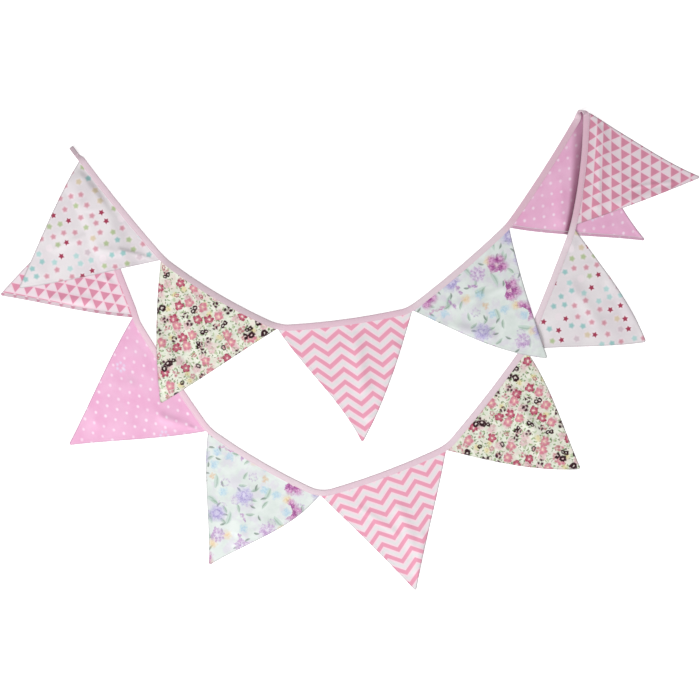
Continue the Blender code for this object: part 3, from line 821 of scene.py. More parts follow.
def loop_stations(at_end):
    """Stations of a hanging loop, from the tape outwards and back to its sewn end."""
    root, way, across = loop_axis(at_end)
    up = np.array((0.0, 0.0, 1.0))
    thin = LOOP_HALF_THICK
    base = root + across * (HALF_WIDTH - LOOP_HALF_WIDTH) + up * (thin - root[2])
    bend = thin + LOOP_EYE / 2
    stations = []
    for share in np.arange(1, LOOP_TAPER_STEPS + 1) / LOOP_TAPER_STEPS:
        change = float(ease(share))
        half_width = HALF_WIDTH + (LOOP_HALF_WIDTH - HALF_WIDTH) * change
        half_thick = HALF_THICK + (thin - HALF_THICK) * change
        place = root + way * LOOP_LENGTH * LOOP_TAPER * share + across * (HALF_WIDTH - half_width)
        stations.append((place + up * (half_thick - root[2]), across, way, half_width, half_thick))
    for share in np.linspace(LOOP_OUT_START, 1 - (bend + 1) / LOOP_LENGTH, LOOP_OUT_STEPS):
        stations.append((base + way * LOOP_LENGTH * share, across, way, LOOP_HALF_WIDTH, thin))
    tip = base + way * (LOOP_LENGTH - bend)
    for step in range(LOOP_BEND_STEPS + 1):
        turn = math.pi * step / LOOP_BEND_STEPS
        place = tip + way * bend * math.sin(turn) + up * bend * (1 - math.cos(turn))
        heading = way * math.cos(turn) + up * math.sin(turn)
        stations.append((place, across, heading, LOOP_HALF_WIDTH, thin))
    for share in np.linspace(LOOP_BACK_START, 1.0, LOOP_BACK_STEPS):
        place = tip + up * 2 * bend - way * (LOOP_RETURN - bend) * share
        stations.append((place, across, -way, LOOP_HALF_WIDTH, thin))
    return stations


def tape_stations():
    """Stations of the whole tape: place, direction across, heading, half width and half thickness."""
    distances = np.linspace(0.0, LENGTH, int(LENGTH / TAPE_STEP) + 1)
    turn = np.linspace(TURN_START - TURN_MARGIN, TURN_END + TURN_MARGIN, TURN_STATIONS)
    outside = (distances < turn[0]) | (distances > turn[-1])
    distances = np.sort(np.concatenate([distances[outside], turn]))
    places, across, headings = tape_frame(distances)
    stations = [(*item, HALF_WIDTH, HALF_THICK) for item in zip(places, across, headings)]
    opening = [(place, way_across, -way, wide, thick)
               for place, way_across, way, wide, thick in loop_stations(False)]
    return opening[::-1] + stations + loop_stations(True)


def station_distances(stations):
    """Distance of each station from the first, along the tape."""
    places = np.array([station[0] for station in stations])
    return np.concatenate([[0.0], np.cumsum(np.linalg.norm(np.diff(places, axis=0), axis=1))])


def pucker(distance, wide, high):
    """Depth of the small puckers that the sewing draws into the tape's outside."""
    seed = PUCKER_SEEDS[0] if high > 0 else PUCKER_SEEDS[1]
    slant = Vector((distance / PUCKER_SPACING + wide / PUCKER_SLANT[0], wide / PUCKER_SLANT[1], seed))
    depth = PUCKER_DEPTH * abs(noise.noise(slant))
    depth *= ease((PUCKER_EDGE[0] - abs(wide)) / PUCKER_EDGE[1])
    return -depth if high > 0 else depth


def end_cap(first):
    """Faces that close an end of the tape, from the outside of the fold to the slot inside."""
    outer, inner = range(OUTER_POINTS), range(OUTER_POINTS, len(SECTION))
    pairs = np.interp(np.linspace(0, 1, len(inner)), [0, 1], [OUTER_POINTS - 1, 0])
    marks = [int(round(value)) for value in pairs]
    faces = []
    for step in range(len(inner) - 1):
        run = outer[marks[step + 1]:marks[step] + 1]
        faces.append(tuple(first + item for item in run)
                     + (first + inner[step], first + inner[step + 1]))
    return faces


def make_tape():
    """The binding tape: one folded strip with soft puckers, from loop to loop."""
    stations = tape_stations()
    along = station_distances(stations)
    section = np.array(SECTION)
    count = len(section)
    width = np.concatenate([[0.0], np.cumsum(np.linalg.norm(np.diff(section, axis=0), axis=1))])
    points, cut = [], []
    for (place, across, heading, half_width, half_thick), distance in zip(stations, along):
        up = np.cross(across, heading)
        up /= np.linalg.norm(up)
        sway = FOLD_SWAY * noise.noise(Vector((distance / FOLD_SWAY_SPACING, 5.0, 1.0)))
        for index, (wide, high) in enumerate(section):
            shift = wide * half_width / HALF_WIDTH + sway * (wide < 0)
            if index < OUTER_POINTS:
                high = high + pucker(distance, wide, high)
            points.append(place + across * shift + up * high * half_thick / HALF_THICK)
            cut.append((distance * MM, width[index] * MM))
    faces = []
    for first in range(0, (len(stations) - 1) * count, count):
        for index in range(count):
            after = (index + 1) % count
            faces.append((first + index, first + after, first + count + after, first + count + index))
    faces += end_cap(0) + end_cap((len(stations) - 1) * count)
    piece = new_piece("folded_tape", to_frame(points), faces)
    add_map(piece.data, "cut", cut)
    return piece


# ---------------------------------------------------------------- the sewing
STITCH_SHARE = 0.78     # the thread's share of one stitch
STITCH_THICK = 0.55
STITCH_HEIGHT = 1.16    # the stitches' distance from the middle of the tape's thickness
SEWING_MARGIN = 2.0     # distance of the first and last stitch from the ends of the tape
BAR_SET_BACK = 2.5      # distance of a loop's bar from the end of the loop's returning part
BAR_REACH = 0.78        # the bar's share of the loop's width
BAR_STITCHES = 13
BAR_APART = 0.45        # each of the bar's two rows lies this far from its middle
BAR_PROUD = 0.08
BAR_SLANT = 0.5


def one_stitch():
    """Points and faces of one stitch, about the origin and lying along X, in millimetres."""
    bpy.ops.object.select_all(action="DESELECT")
    bpy.ops.mesh.primitive_uv_sphere_add(segments=6, ring_count=5, radius=1.0)
    bead = bpy.context.object
    bpy.ops.object.mode_set(mode="EDIT")
    bpy.ops.mesh.select_all(action="SELECT")
    bpy.ops.transform.rotate(value=math.pi / 2, orient_axis="Y", center_override=(0, 0, 0))
    bpy.ops.object.mode_set(mode="OBJECT")
    points = np.array([vertex.co for vertex in bead.data.vertices])
    faces = [tuple(face.vertices) for face in bead.data.polygons]
    bpy.data.objects.remove(bead, do_unlink=True)
    return points, faces


def sew(name, places, ways, ups, length, thickness):
    """One piece of many stitches, each along its way and standing proud along its up."""
    shape, shape_faces = one_stitch()
    points, faces = [], []
    for place, way, up in zip(places, ways, ups):
        side = np.cross(up, way)
        size = shape * (length / 2, thickness / 2, thickness / 2)
        first = len(points)
        points.extend(place + size[:, :1] * way + size[:, 1:2] * side + size[:, 2:] * up)
        faces.extend(tuple(first + item for item in face) for face in shape_faces)
    return new_piece(name, to_frame(np.array(points)), faces, outwards=False)


def tape_sewing():
    """The row of stitches along the tape's mouth, above and below, and the bars at the loops."""
    settings = bpy.context.scene.bunting_sewing
    pitch = settings.stitch_pitch * 1000
    distances = np.arange(SEWING_MARGIN, LENGTH - SEWING_MARGIN, pitch)
    places, across, headings = tape_frame(distances)
    ups = np.cross(across, headings)
    ups /= np.linalg.norm(ups, axis=1, keepdims=True)
    seat = places + across * STITCH_ACROSS
    spots = [seat + ups * STITCH_HEIGHT, seat - ups * STITCH_HEIGHT]
    ways, tops = [headings, headings], [ups, -ups]
    for at_end in (False, True):
        root, way, sideways = loop_axis(at_end)
        level = root + sideways * (HALF_WIDTH - LOOP_HALF_WIDTH) - np.array((0, 0, root[2]))
        seam = level + way * (LOOP_LENGTH - LOOP_RETURN + BAR_SET_BACK)
        height = 4 * LOOP_HALF_THICK + LOOP_EYE + BAR_PROUD
        steps = np.linspace(-BAR_REACH, BAR_REACH, BAR_STITCHES) * LOOP_HALF_WIDTH
        for shift in (-BAR_APART, BAR_APART):
            bar = seam + sideways * steps[:, None] + way * shift
            bar[:, 2] = height
            spots.append(bar)
            slant = unit(sideways * BAR_SLANT + way * (1 if shift > 0 else -1))
            ways.append(np.repeat(slant[None], len(bar), 0))
            tops.append(np.repeat(np.array([[0.0, 0.0, 1.0]]), len(bar), 0))
    return sew("tape_stitching", np.concatenate(spots), np.concatenate(ways), np.concatenate(tops),
               pitch * STITCH_SHARE, STITCH_THICK)


# ---------------------------------------------------------------- dyes, prints and painted light and shade
RIM_SHADE_WIDTH = 2.8         # width of the painted shade along a flag's rims, in millimetres, and lengths below in metres
OTHER_LAYER = (0.43, 0.37)  # parts of a repeat by which a flag's other layer is shifted
STAGGER = 0.381966      # keeps the rows of a scattered print from lining up
TINT_FADE = 0.03
MOTTLE = 0.05           # how far the cloths' brightness varies from patch to patch
PATCH_SIZE = 0.035
SLUB_SIZE = 0.004       # size of the uneven places in the threads
SLUB_STRETCH = 6.0      # how many times longer than wide they are
FOLD_SHADE = 0.0016      # half the width of the painted shade along the tape's rounded fold
FOLD_SHADE_FADE = 0.0012
LOOP_GREY_FADE = 0.02
PLY_SCALE = 900.0       # fineness of the thread's twist
PLY_DEPTH = 0.00008


def paint(code):
    """A colour as Blender keeps it, from its usual six-figure code."""
    parts = [int(code[start:start + 2], 16) / 255 for start in (0, 2, 4)]
    return tuple(part / 12.92 if part <= 0.04045 else ((part + 0.055) / 1.055) ** 2.4
                 for part in parts) + (1.0,)


def operation(name, *fixed):
    """A method that gives what one Math operation makes of a number, with numbers already set."""
    return lambda self, *others: self.make(name, *others, *fixed)


class Term:
    """A number in a node tree, so that a pattern can be written as a sum."""

    def __init__(self, tree, socket):
        self.tree = tree
        self.socket = socket

    def make(self, name, *others, clamp=False):
        """What a Math node gives for this number and the others."""
        node = self.tree.nodes.new("ShaderNodeMath")
        node.operation = name
        node.use_clamp = clamp
        for index, item in enumerate((self,) + others):
            if isinstance(item, Term):
                self.tree.links.new(item.socket, node.inputs[index])
            else:
                node.inputs[index].default_value = item
        return Term(self.tree, node.outputs[0])

    __add__ = operation("ADD")
    __sub__ = operation("SUBTRACT")
    __mul__ = operation("MULTIPLY")
    __truediv__ = operation("DIVIDE")
    __neg__ = operation("MULTIPLY", -1.0)
    __abs__ = operation("ABSOLUTE")
    floor = operation("FLOOR")
    part = operation("FRACT")           # what is left over the whole number below
    sine = operation("SINE")
    cosine = operation("COSINE")
    least = operation("MINIMUM")
    above = operation("GREATER_THAN")   # 1 where it is over another number, otherwise 0
    below = operation("LESS_THAN")      # 1 where it is under another number, otherwise 0

    def between(self, low, high):
        """1 where the number is from low to high, otherwise 0."""
        return self.above(low) * self.below(high)

    def wave(self):
        """A zigzag from 0 to 1 and back for each whole step of the number."""
        return abs(self.part() - 0.5) * 2

    def clear(self, softness):
        """1 well over 0 and 0 well under it, with a soft change between."""
        return self.make("MULTIPLY_ADD", 1 / softness, 0.5, clamp=True)

    def length(self, other):
        """The distance from the origin, for a pair of places."""
        return (self * self + other * other).make("SQRT")


class Dye:
    """The node tree of one cloth, with its colour built up layer by layer."""

    def __init__(self, name, ground):
        self.material = bpy.data.materials.new(name)
        self.material.use_nodes = True
        self.tree = self.material.node_tree
        self.shader = self.tree.nodes["Principled BSDF"]
        rgb = self.tree.nodes.new("ShaderNodeRGB")
        rgb.outputs[0].default_value = ground
        self.colour = rgb.outputs[0]

    def new(self, kind, **settings):
        """A new node with its settings."""
        node = self.tree.nodes.new(kind)
        for key, value in settings.items():
            setattr(node, key, value)
        return node

    def link(self, value, socket):
        """Joins a number or a socket to a socket, or sets a plain value on it."""
        if isinstance(value, Term):
            value = value.socket
        if isinstance(value, bpy.types.NodeSocket):
            self.tree.links.new(value, socket)
        else:
            socket.default_value = value

    def place(self, layer):
        """The two numbers of a UV map."""
        node = self.new("ShaderNodeUVMap", uv_map=layer)
        parts = self.new("ShaderNodeSeparateXYZ")
        self.link(node.outputs[0], parts.inputs[0])
        x, y = Term(self.tree, parts.outputs[0]), Term(self.tree, parts.outputs[1])
        if layer == "print":
            # The other layer's cloth shows where a sewn side has rolled over.
            turned = self.attribute("from_rolled").below(SEAM_PLACE)
            x, y = x + turned * OTHER_LAYER[0], y + turned * OTHER_LAYER[1]
        return x, y

    def attribute(self, name):
        """A number that the mesh holds at each vertex."""
        node = self.new("ShaderNodeAttribute", attribute_name=name)
        return Term(self.tree, node.outputs["Fac"])

    def join(self, x, y, z=0.0):
        """Three numbers as one place."""
        node = self.new("ShaderNodeCombineXYZ")
        for value, socket in zip((x, y, z), node.inputs):
            self.link(value, socket)
        return node.outputs[0]

    def chances(self, x, y, seed=0.0):
        """Four numbers by chance for each cell of the print."""
        node = self.new("ShaderNodeTexWhiteNoise", noise_dimensions="3D")
        self.link(self.join(x, y, seed), node.inputs["Vector"])
        parts = self.new("ShaderNodeSeparateColor")
        self.link(node.outputs["Color"], parts.inputs[0])
        return [Term(self.tree, socket) for socket in (*parts.outputs, node.outputs["Value"])]

    def cloud(self, x, y, size, detail=2.0, seed=0.0):
        """Smooth noise about 0.5, with features of about the given size."""
        node = self.new("ShaderNodeTexNoise", noise_dimensions="3D")
        node.inputs["Scale"].default_value = 1 / size
        node.inputs["Detail"].default_value = detail
        self.link(self.join(x, y, seed), node.inputs["Vector"])
        return Term(self.tree, node.outputs["Fac"])

    def mix(self, colour_a, colour_b, factor):
        """The first colour where the factor is 0, and the second where it is 1."""
        node = self.new("ShaderNodeMix", data_type="RGBA")
        self.link(factor, node.inputs[0])
        self.link(colour_a, node.inputs[6])
        self.link(colour_b, node.inputs[7])
        return node.outputs[2]

    def lay(self, colour, factor):
        """Prints a colour over what is there."""
        self.colour = self.mix(self.colour, colour, factor)

    def pick(self, chance, shades):
        """One of a few colours, by chance, from shades given as (share from, colour)."""
        node = self.new("ShaderNodeValToRGB")
        ramp = node.color_ramp
        ramp.interpolation = "CONSTANT"
        while len(ramp.elements) < len(shades):
            ramp.elements.new(1.0)
        for element, (start, colour) in zip(ramp.elements, shades):
            element.position = start
            element.color = colour
        self.link(chance, node.inputs[0])
        return node.outputs[0]

    def relief(self, height, strength, depth):
        """Gives the shader the colour laid so far, with a fine relief of the given height."""
        bump = self.new("ShaderNodeBump")
        bump.inputs["Strength"].default_value = strength
        bump.inputs["Distance"].default_value = depth
        self.link(height, bump.inputs["Height"])
        self.link(self.colour, self.shader.inputs["Base Color"])
        self.link(bump.outputs[0], self.shader.inputs["Normal"])

    def scatter(self, x, y, jitter, seed=0.0, turn=True):
        """Places within the cells of a staggered print, about each motif's own middle."""
        line = y.floor() + 0.5
        x = x + (line * STAGGER).part() * 3
        column = x.floor() + 0.5
        chances = self.chances(column, line, seed)
        x = x.part() - 0.5 - (chances[0] - 0.5) * jitter
        y = y.part() - 0.5 - (chances[1] - 0.5) * jitter
        if turn:
            angle = chances[2] * (2 * math.pi)
            cosine, sine = angle.cosine(), angle.sine()
            x, y = x * cosine + y * sine, y * cosine - x * sine
        return x, y, chances


def around(x, y, count):
    """A place folded into the first of count equal wedges about the origin."""
    wedge = math.pi / count
    angle = y.make("ARCTAN2", x).make("WRAP", wedge, -wedge)
    distance = x.length(y)
    return distance * angle.cosine(), distance * angle.sine()


def dabs(x, y, count, middle, size, narrow=1.0):
    """How far inside the nearest of a ring of dabs a place is."""
    out, aside = around(x, y, count)
    return -(out - middle).length(aside * narrow) + size


def rings(x, y, count, middle, radius, thickness):
    """The same for a group of drawn rings."""
    out, aside = around(x, y, count)
    return -abs((out - middle).length(aside) - radius) + thickness / 2


def disc(x, y, radius):
    """How far inside a disc a place is."""
    return -x.length(y) + radius


def star(x, y, radius, waist):
    """How far inside a five-pointed star a place is."""
    out, aside = around(x, y, 5)
    aside = abs(aside)
    tip = np.array((radius, 0.0))
    inner = np.array((math.cos(math.pi / 5), math.sin(math.pi / 5))) * radius * waist
    edge = inner - tip
    normal = np.array((edge[1], -edge[0])) / np.linalg.norm(edge)
    normal *= 1 if normal @ tip > 0 else -1
    return -(out * float(normal[0]) + aside * float(normal[1])) + float(normal @ tip)


def leaf(x, y, half_length, half_width):
    """How far inside a pointed leaf a place is."""
    return -(y * y / half_length + abs(x) * (half_length / half_width)) + half_length


def print_stars(dye):
    """Small stars in soft colours on a faintly clouded ground: a few crisp, the others blurred."""
    x, y = dye.place("print")
    dye.lay(paint("C9BBC6"), (dye.cloud(x, y, 3.2, 3.0, 8.0) - 0.5).clear(0.3) * 0.38)
    x, y, chances = dye.scatter(x, y, 0.42)
    kind = chances[3]
    bold = kind.below(0.17)
    size = bold * 0.02 + (chances[0] - 0.5) * 0.04
    shades = ((0.0, paint("A43A55")), (0.17, paint("D28799")), (0.44, paint("A7BE84")),
              (0.58, paint("85C2BF")), (0.71, paint("A8D5D2")), (0.84, paint("D6C5A2")),
              (0.92, paint("CDBBC4")))
    dye.lay(paint("F3E6EC"), disc(x, y, 0.34).clear(0.16) * 0.55)
    crisp = (star(x, y, 0.275, 0.58) + size).clear(0.07) * bold
    soft = (star(x, y, 0.265, 0.78) + size).clear(0.17) * (-bold + 1.0) * kind.below(0.97)
    dye.lay(dye.pick(kind, shades), crisp + soft * 0.85)


def print_small_floral(dye):
    """Small flowers, buds and rings over scattered leaves, in three layers."""
    x, y = dye.place("print")
    x = x + (dye.cloud(x, y, 0.3, 1.0, 11.0) - 0.5) * 0.35
    y = y + (dye.cloud(x, y, 0.3, 1.0, 17.0) - 0.5) * 0.35
    dye.lay(paint("C9D5BF"), (dye.cloud(x, y, 0.5, 2.0, 5.0) - 0.5).clear(0.35) * 0.6)
    dye.lay(paint("E6CFC9"), (dye.cloud(x, y, 0.7, 2.0, 9.0) - 0.57).clear(0.2) * 0.6)
    for seed, cells, tone, share in ((3.0, 1.4, "B4C69E", 0.60), (5.0, 2.0, "8FAA76", 0.55),
                                     (8.0, 2.5, "5F7A50", 0.42), (9.0, 3.1, "8C8A6C", 0.25)):
        u, v, chances = dye.scatter(x * cells + seed, y * cells + seed * 0.7, 0.5, seed)
        dye.lay(paint(tone), leaf(u, v, 0.32, 0.15).clear(0.16) * chances[3].below(share) * 0.85)

    def layer(scale, jitter, seed):
        """Places about each motif's middle in a layer of them, and its kind by chance."""
        u, v, chances = dye.scatter(x * scale + seed, y * scale, jitter, seed)
        size = chances[0] * 0.6 + 0.8
        return u * size, v * size, chances[3]

    def motif(low, high, inside, colour, softness=0.1, strength=1.0):
        """Prints one shape on the motifs whose kind is from low to high."""
        dye.lay(colour, inside.clear(softness) * kind.between(low, high) * strength)

    u, v, kind = layer(0.85, 0.6, 21.0)
    motif(-1.0, 0.34, dabs(u, v, 5, 0.2, 0.15), paint("E0B0BB"), 0.2, 0.75)
    motif(0.34, 0.50, disc(u, v, 0.24), paint("E6D695"), 0.25, 0.7)
    motif(0.50, 0.66, dabs(u, v, 3, 0.2, 0.13), paint("C4687F"), 0.14, 0.8)
    motif(0.66, 0.76, rings(u, v, 2, 0.19, 0.15, 0.09), paint("C98295"), 0.12, 0.9)

    u, v, kind = layer(0.92, 0.4, 1.0)
    motif(-1.0, 0.16, dabs(u, v, 5, 0.25, 0.17), paint("D27F91"), 0.14)
    motif(-1.0, 0.16, disc(u, v, 0.17), paint("E7AEB2"), 0.2, 0.8)
    motif(-1.0, 0.16, disc(u, v, 0.06), paint("F4E2C6"))
    motif(0.16, 0.30, dabs(u, v, 5, 0.27, 0.17), paint("A53B57"))
    motif(0.16, 0.30, dabs(u, v, 5, 0.19, 0.09), paint("CC6C83"), 0.12)
    motif(0.16, 0.30, disc(u, v, 0.09), paint("F1D9D2"))
    plum = paint("33121C")
    motif(0.30, 0.39, dabs(u, v, 4, 0.28, 0.155), plum)
    motif(0.30, 0.39, dabs(u, v, 4, 0.10, 0.05), paint("6E3A4C"))
    motif(0.44, 0.51, rings(u, v, 2, 0.2, 0.15, 0.17), plum, 0.07)
    motif(0.44, 0.51, dabs(u, v, 2, 0.2, 0.06), paint("EADDD8"), 0.06)
    motif(0.44, 0.51, disc(u, v + 0.36, 0.08), plum)
    motif(0.54, 0.60, rings(u, v, 1, 0.0, 0.20, 0.15), plum)
    motif(0.60, 0.73, dabs(u, v, 3, 0.24, 0.13, 0.7), paint("4A2030"))
    motif(0.73, 0.84, dabs(u, v, 6, 0.2, 0.08), paint("B0485F"))
    motif(0.84, 0.90, dabs(u, v, 5, 0.2, 0.13), paint("BE5C74"), 0.16, 0.8)

    u, v, kind = layer(0.55, 0.5, 41.0)
    motif(-1.0, 0.12, rings(u, v, 2, 0.16, 0.105, 0.125), plum, 0.05)
    motif(-1.0, 0.12, dabs(u, v, 2, 0.16, 0.035), paint("EADDD8"), 0.05)


def print_chevron(dye):
    """Pink zigzag stripes on a ground that is a little pinker beside them."""
    x, y = dye.place("print")
    height = (y + x.wave() * 0.80 + 0.5).part() - 0.5
    from_stripe = abs(height)
    paper = dye.mix(paint("F3D9E2"), paint("E3E0E2"), (from_stripe - 0.36).clear(0.12))
    dye.lay(paper, 1.0)
    dye.lay(paint("EA9DB6"), (-from_stripe + 0.2).clear(0.07))


def print_dots(dye):
    """White dots in rows, a few larger rings of dabs, and a painted shade beside the tape."""
    x, y = dye.place("print")
    u, v = x.part() - 0.5, y.part() - 0.5
    cell = dye.chances(x.floor() + 0.5, y.floor() + 0.5, 2.0)
    dye.lay(paint("E28FBF"), (dye.cloud(x, y, 1.6, 3.0, 4.0) - 0.5).clear(0.4) * 0.4)
    dot = disc(u, v, 0.13) + (cell[0] - 0.5) * 0.03
    dye.lay(paint("FBEAF6"), dot.clear(0.14) * (cell[1] * 0.35 + 0.5))
    across, up, chances = dye.scatter(x / 4.6, y / 4.6, 0.2, 6.0)
    mark = dabs(across, up, 6, 0.085, 0.03).clear(0.03) * dye.cloud(x, y, 0.2, 2.0)
    dye.lay(paint("E3DDF2"), mark * chances[3].below(0.5) * 1.2)
    # Painted shade: a dark pink laid in the gutter where the cloth falls steeply beside the returning
    # tape.
    dye.lay(paint("8C4767"), dye.attribute("bank_painted_shade"))


def print_triangles(dye):
    """Rows of pink triangles, mottled, with fine pale lines between them."""
    x, y = dye.place("print")
    slant = x - y * 0.5
    base, rise = slant.part(), y.part()
    dye.lay(paint("E38FAB"), (-(base + rise) + 1.0).clear(0.04))
    dye.lay(paint("C08A9E"), (-(base + rise) + 1.0).clear(0.04) * dye.cloud(x, y, 0.35, 2.0, 3.0) * 0.5)
    line = (-abs(base - 0.5) + 0.5).least((-abs(rise - 0.5) + 0.5) * 0.9)
    line = line.least(-abs((base + rise).part() - 0.5) + 0.5)
    dye.lay(paint("F2D0DD"), (-line + 0.045).clear(0.05) * 0.9)


def print_watercolour_floral(dye):
    """Soft painted flowers, gathered here and there, over loose leaves."""
    x, y = dye.place("print")
    wobble = (dye.cloud(x, y, 0.22, 2.0, 1.0) - 0.5) * 0.45
    wobble_b = (dye.cloud(x, y, 0.22, 2.0, 9.0) - 0.5) * 0.45
    grain = dye.cloud(x, y, 0.09, 2.0, 4.0)
    dye.lay(paint("D3DDD8"), (dye.cloud(x, y, 0.8, 3.0, 6.0) - 0.5).clear(0.3) * 0.7)
    dye.lay(paint("D9CCE0"), (dye.cloud(x, y, 0.6, 4.0, 7.0) - 0.56).clear(0.16) * 0.45)
    for seed, cells, tone, core, size, share in ((2.0, 0.8, "BCD1C6", "9BB3A6", 0.46, 0.40),
                                                 (5.0, 1.1, "AFC6B6", "829E8C", 0.40, 0.28),
                                                 (8.0, 1.6, "8C9E92", "5C6E66", 0.40, 0.20)):
        u, v, chances = dye.scatter(x * cells + seed, y * cells - seed, 0.5, seed)
        shown = chances[3].below(share) * (grain * 0.5 + 0.5)
        bent = u + v * v * 0.4 + wobble * 0.12
        dye.lay(paint(tone), leaf(bent, v, size, size * 0.32).clear(0.24) * shown)
        dye.lay(paint(core), leaf(bent - 0.03, v, size * 0.8, size * 0.10).clear(0.14) * shown * 0.8)

    def bloom(low, high, inside, light, dark, strength=0.9, softness=0.14):
        """Prints one shape in two tones on the motifs whose kind is from low to high."""
        factor = inside.clear(softness) * kind.between(low, high) * strength
        dye.lay(dye.mix(paint(light), paint(dark), (grain - 0.5).clear(0.3)), factor)

    x, y = x + wobble, y + wobble_b
    u, v, chances = dye.scatter(x * 1.05, y * 1.05 + 5.0, 0.5, 12.0)
    kind = chances[3]
    bloom(-1.0, 0.17, dabs(u, v, 2, 0.22, 0.20, 1.7), "CDA3D2", "9A6BA6", 0.8)
    bloom(0.17, 0.30, disc(u, v, 0.27), "F1DDB2", "E6BE84", 0.75, 0.35)
    bloom(0.30, 0.33, dabs(u, v, 3, 0.12, 0.10), "E7B878", "D69A5C", 0.7, 0.2)
    bloom(0.33, 0.40, dabs(u, v, 4, 0.13, 0.16), "BFDDEA", "93C3DF", 0.7, 0.25)
    bloom(0.44, 0.54, dabs(u, v, 7, 0.27, 0.055), "C9A8D8", "A07BB6", 0.7)
    u, v, chances = dye.scatter(x * 0.55, y * 0.55, 0.5, 3.0)
    gathered = dye.cloud(x, y, 3.6, 1.0, 15.0)
    kind = chances[3] + chances[1].above(gathered * 3.0 - 0.75)
    size = chances[0] * 0.35 + 0.75
    u, v = u * size + wobble * 0.25, v * size + wobble_b * 0.25
    bloom(-1.0, 0.24, dabs(u, v, 5, 0.20, 0.15), "D9A0CE", "A94F98")
    bloom(-1.0, 0.24, dabs(u, v, 3, 0.14, 0.09), "B75CA4", "7E2E74", 0.85, 0.1)
    bloom(-1.0, 0.24, dabs(u, v, 5, 0.24, 0.05), "EBCBE3", "D48FC2", 0.8, 0.06)
    bloom(-1.0, 0.24, disc(u, v, 0.05), "F3DCE4", "E0A9C4", 0.9, 0.06)
    bloom(0.24, 0.52, dabs(u, v, 6, 0.14, 0.14), "CCC1E6", "A497CC", 0.85, 0.2)
    bloom(0.24, 0.52, rings(u, v, 1, 0.0, 0.12, 0.04), "9E8FCC", "7F6DB0", 0.55, 0.05)
    bloom(0.24, 0.52, disc(u, v, 0.06), "E6E1F4", "C5BBE2", 0.7)
    bloom(0.52, 0.92, disc(u, v, 0.27), "EBDDF0", "D7C3E2", 0.5, 0.25)
    bloom(0.52, 0.92, dabs(u, v, 9, 0.24, 0.05), "D0A9D6", "A87BB8", 0.75, 0.07)
    bloom(0.52, 0.92, dabs(u, v, 6, 0.13, 0.05), "C39BCB", "9C6DAE", 0.75, 0.07)


def painted_rim_shade_and_seam(dye):
    """Painted shade along a flag's rims, where the sewn edges round down, and the seam and the back
    that show where a side has rolled.
    """
    inward = (dye.attribute("from_side") / RIM_SHADE_WIDTH).least(1.0)
    # Painted shade: the rims are greyed where the edges round down away from the light.
    dye.lay(dye.mix(dye.colour, paint("8E8389"), 0.5), -inward + 1.0)
    from_rolled = dye.attribute("from_rolled")
    dye.lay(paint("EDE3E8"), -abs(from_rolled - SEAM_PLACE - 0.5) + 1.0)
    dye.lay(dye.mix(dye.colour, paint("A07F8C"), 0.35), from_rolled.below(SEAM_PLACE))


def fold_shade_and_grey_loop(dye, along, around_section):
    """Painted shade along the tape's rounded fold, and its first hanging loop, which is greyer than the
    rest.
    """
    fold = (-abs(around_section - FOLD_PLACE) + FOLD_SHADE).clear(FOLD_SHADE_FADE)
    # Painted shade: the folded edge, which rounds away from the light, is greyed.
    dye.lay(paint("9C8F95"), fold * 0.3)
    loop = (-along + (LOOP_LENGTH + LOOP_RETURN) * MM).clear(LOOP_GREY_FADE)
    dye.lay(paint("8F8087"), loop * 0.45)


def finish_cloth(dye, x, y, weave_pitch, weave_depth, roughness, sheen):
    """Mottling, weave and the shader's own settings for a cloth, from its places as cut."""
    patchy = dye.cloud(x, y, PATCH_SIZE, 3.0, 2.0)
    mixed = dye.new("ShaderNodeHueSaturation")
    dye.link(dye.colour, mixed.inputs["Color"])
    dye.link((patchy - 0.5) * MOTTLE + 1.0, mixed.inputs["Value"])
    dye.colour = mixed.outputs[0]
    threads_x = (x * (2 * math.pi / weave_pitch)).sine()
    threads_y = (y * (2 * math.pi / weave_pitch)).sine()
    slub = dye.cloud(x, y * SLUB_STRETCH, SLUB_SIZE, 1.0, 3.0)
    weave = threads_x * threads_y * 0.5 + 0.5 + (slub - 0.5) * 0.6
    dye.relief(weave, 0.35, weave_depth)
    dye.link((weave - 0.5) * 0.10 + (patchy - 0.5) * 0.12 + roughness, dye.shader.inputs["Roughness"])
    dye.shader.inputs["Sheen Weight"].default_value = sheen
    dye.shader.inputs["Sheen Roughness"].default_value = 0.5
    dye.shader.inputs["Specular IOR Level"].default_value = 0.25
    return dye.material


def cotton(print_name):
    """The printed cotton of one kind of flag."""
    colours = bpy.context.scene.bunting_colours
    ground, printer = {
        "stars": (colours.stars_ground, print_stars),
        "small_floral": (colours.floral_ground, print_small_floral),
        "chevron": (colours.chevron_ground, print_chevron),
        "watercolour_floral": (colours.watercolour_ground, print_watercolour_floral),
        "dots": (colours.dots_ground, print_dots),
        "triangles": (colours.triangles_ground, print_triangles),
    }[print_name]
    dye = Dye(f"cotton_{print_name}", (*ground, 1.0))
    printer(dye)
    x, y = dye.place("cut")
    # Painted shade along the rims, then the seam and the back where a side has rolled.
    painted_rim_shade_and_seam(dye)
    return finish_cloth(dye, x, y, weave_pitch=0.0007, weave_depth=0.0001, roughness=0.86, sheen=0.12)


def tape_cloth():
    """The woven tape, with painted light and shade along some of the flags and a painted shade along
    its fold, and a greyer first loop.
    """
    colours = bpy.context.scene.bunting_colours
    dye = Dye("pale_pink_tape", (*colours.tape, 1.0))
    along, around_section = dye.place("cut")
    # Painted light and shade: stretches beside some flags are made paler, greyer and pinker.
    for flag, tint, share in TAPE_PAINTED_LIGHT:
        start, end = (distance + LOOP_LENGTH + LOOP_RETURN for distance in SPANS[flag])
        inside = -abs(along - (start + end) / 2 * MM) + (end - start) / 2 * MM
        dye.lay(paint(tint), inside.clear(TINT_FADE) * share)
    # Painted shade along the fold, and the greyer first loop.
    fold_shade_and_grey_loop(dye, along, around_section)
    return finish_cloth(dye, along, around_section,
                        weave_pitch=0.0009, weave_depth=0.00012, roughness=0.8, sheen=0.2)


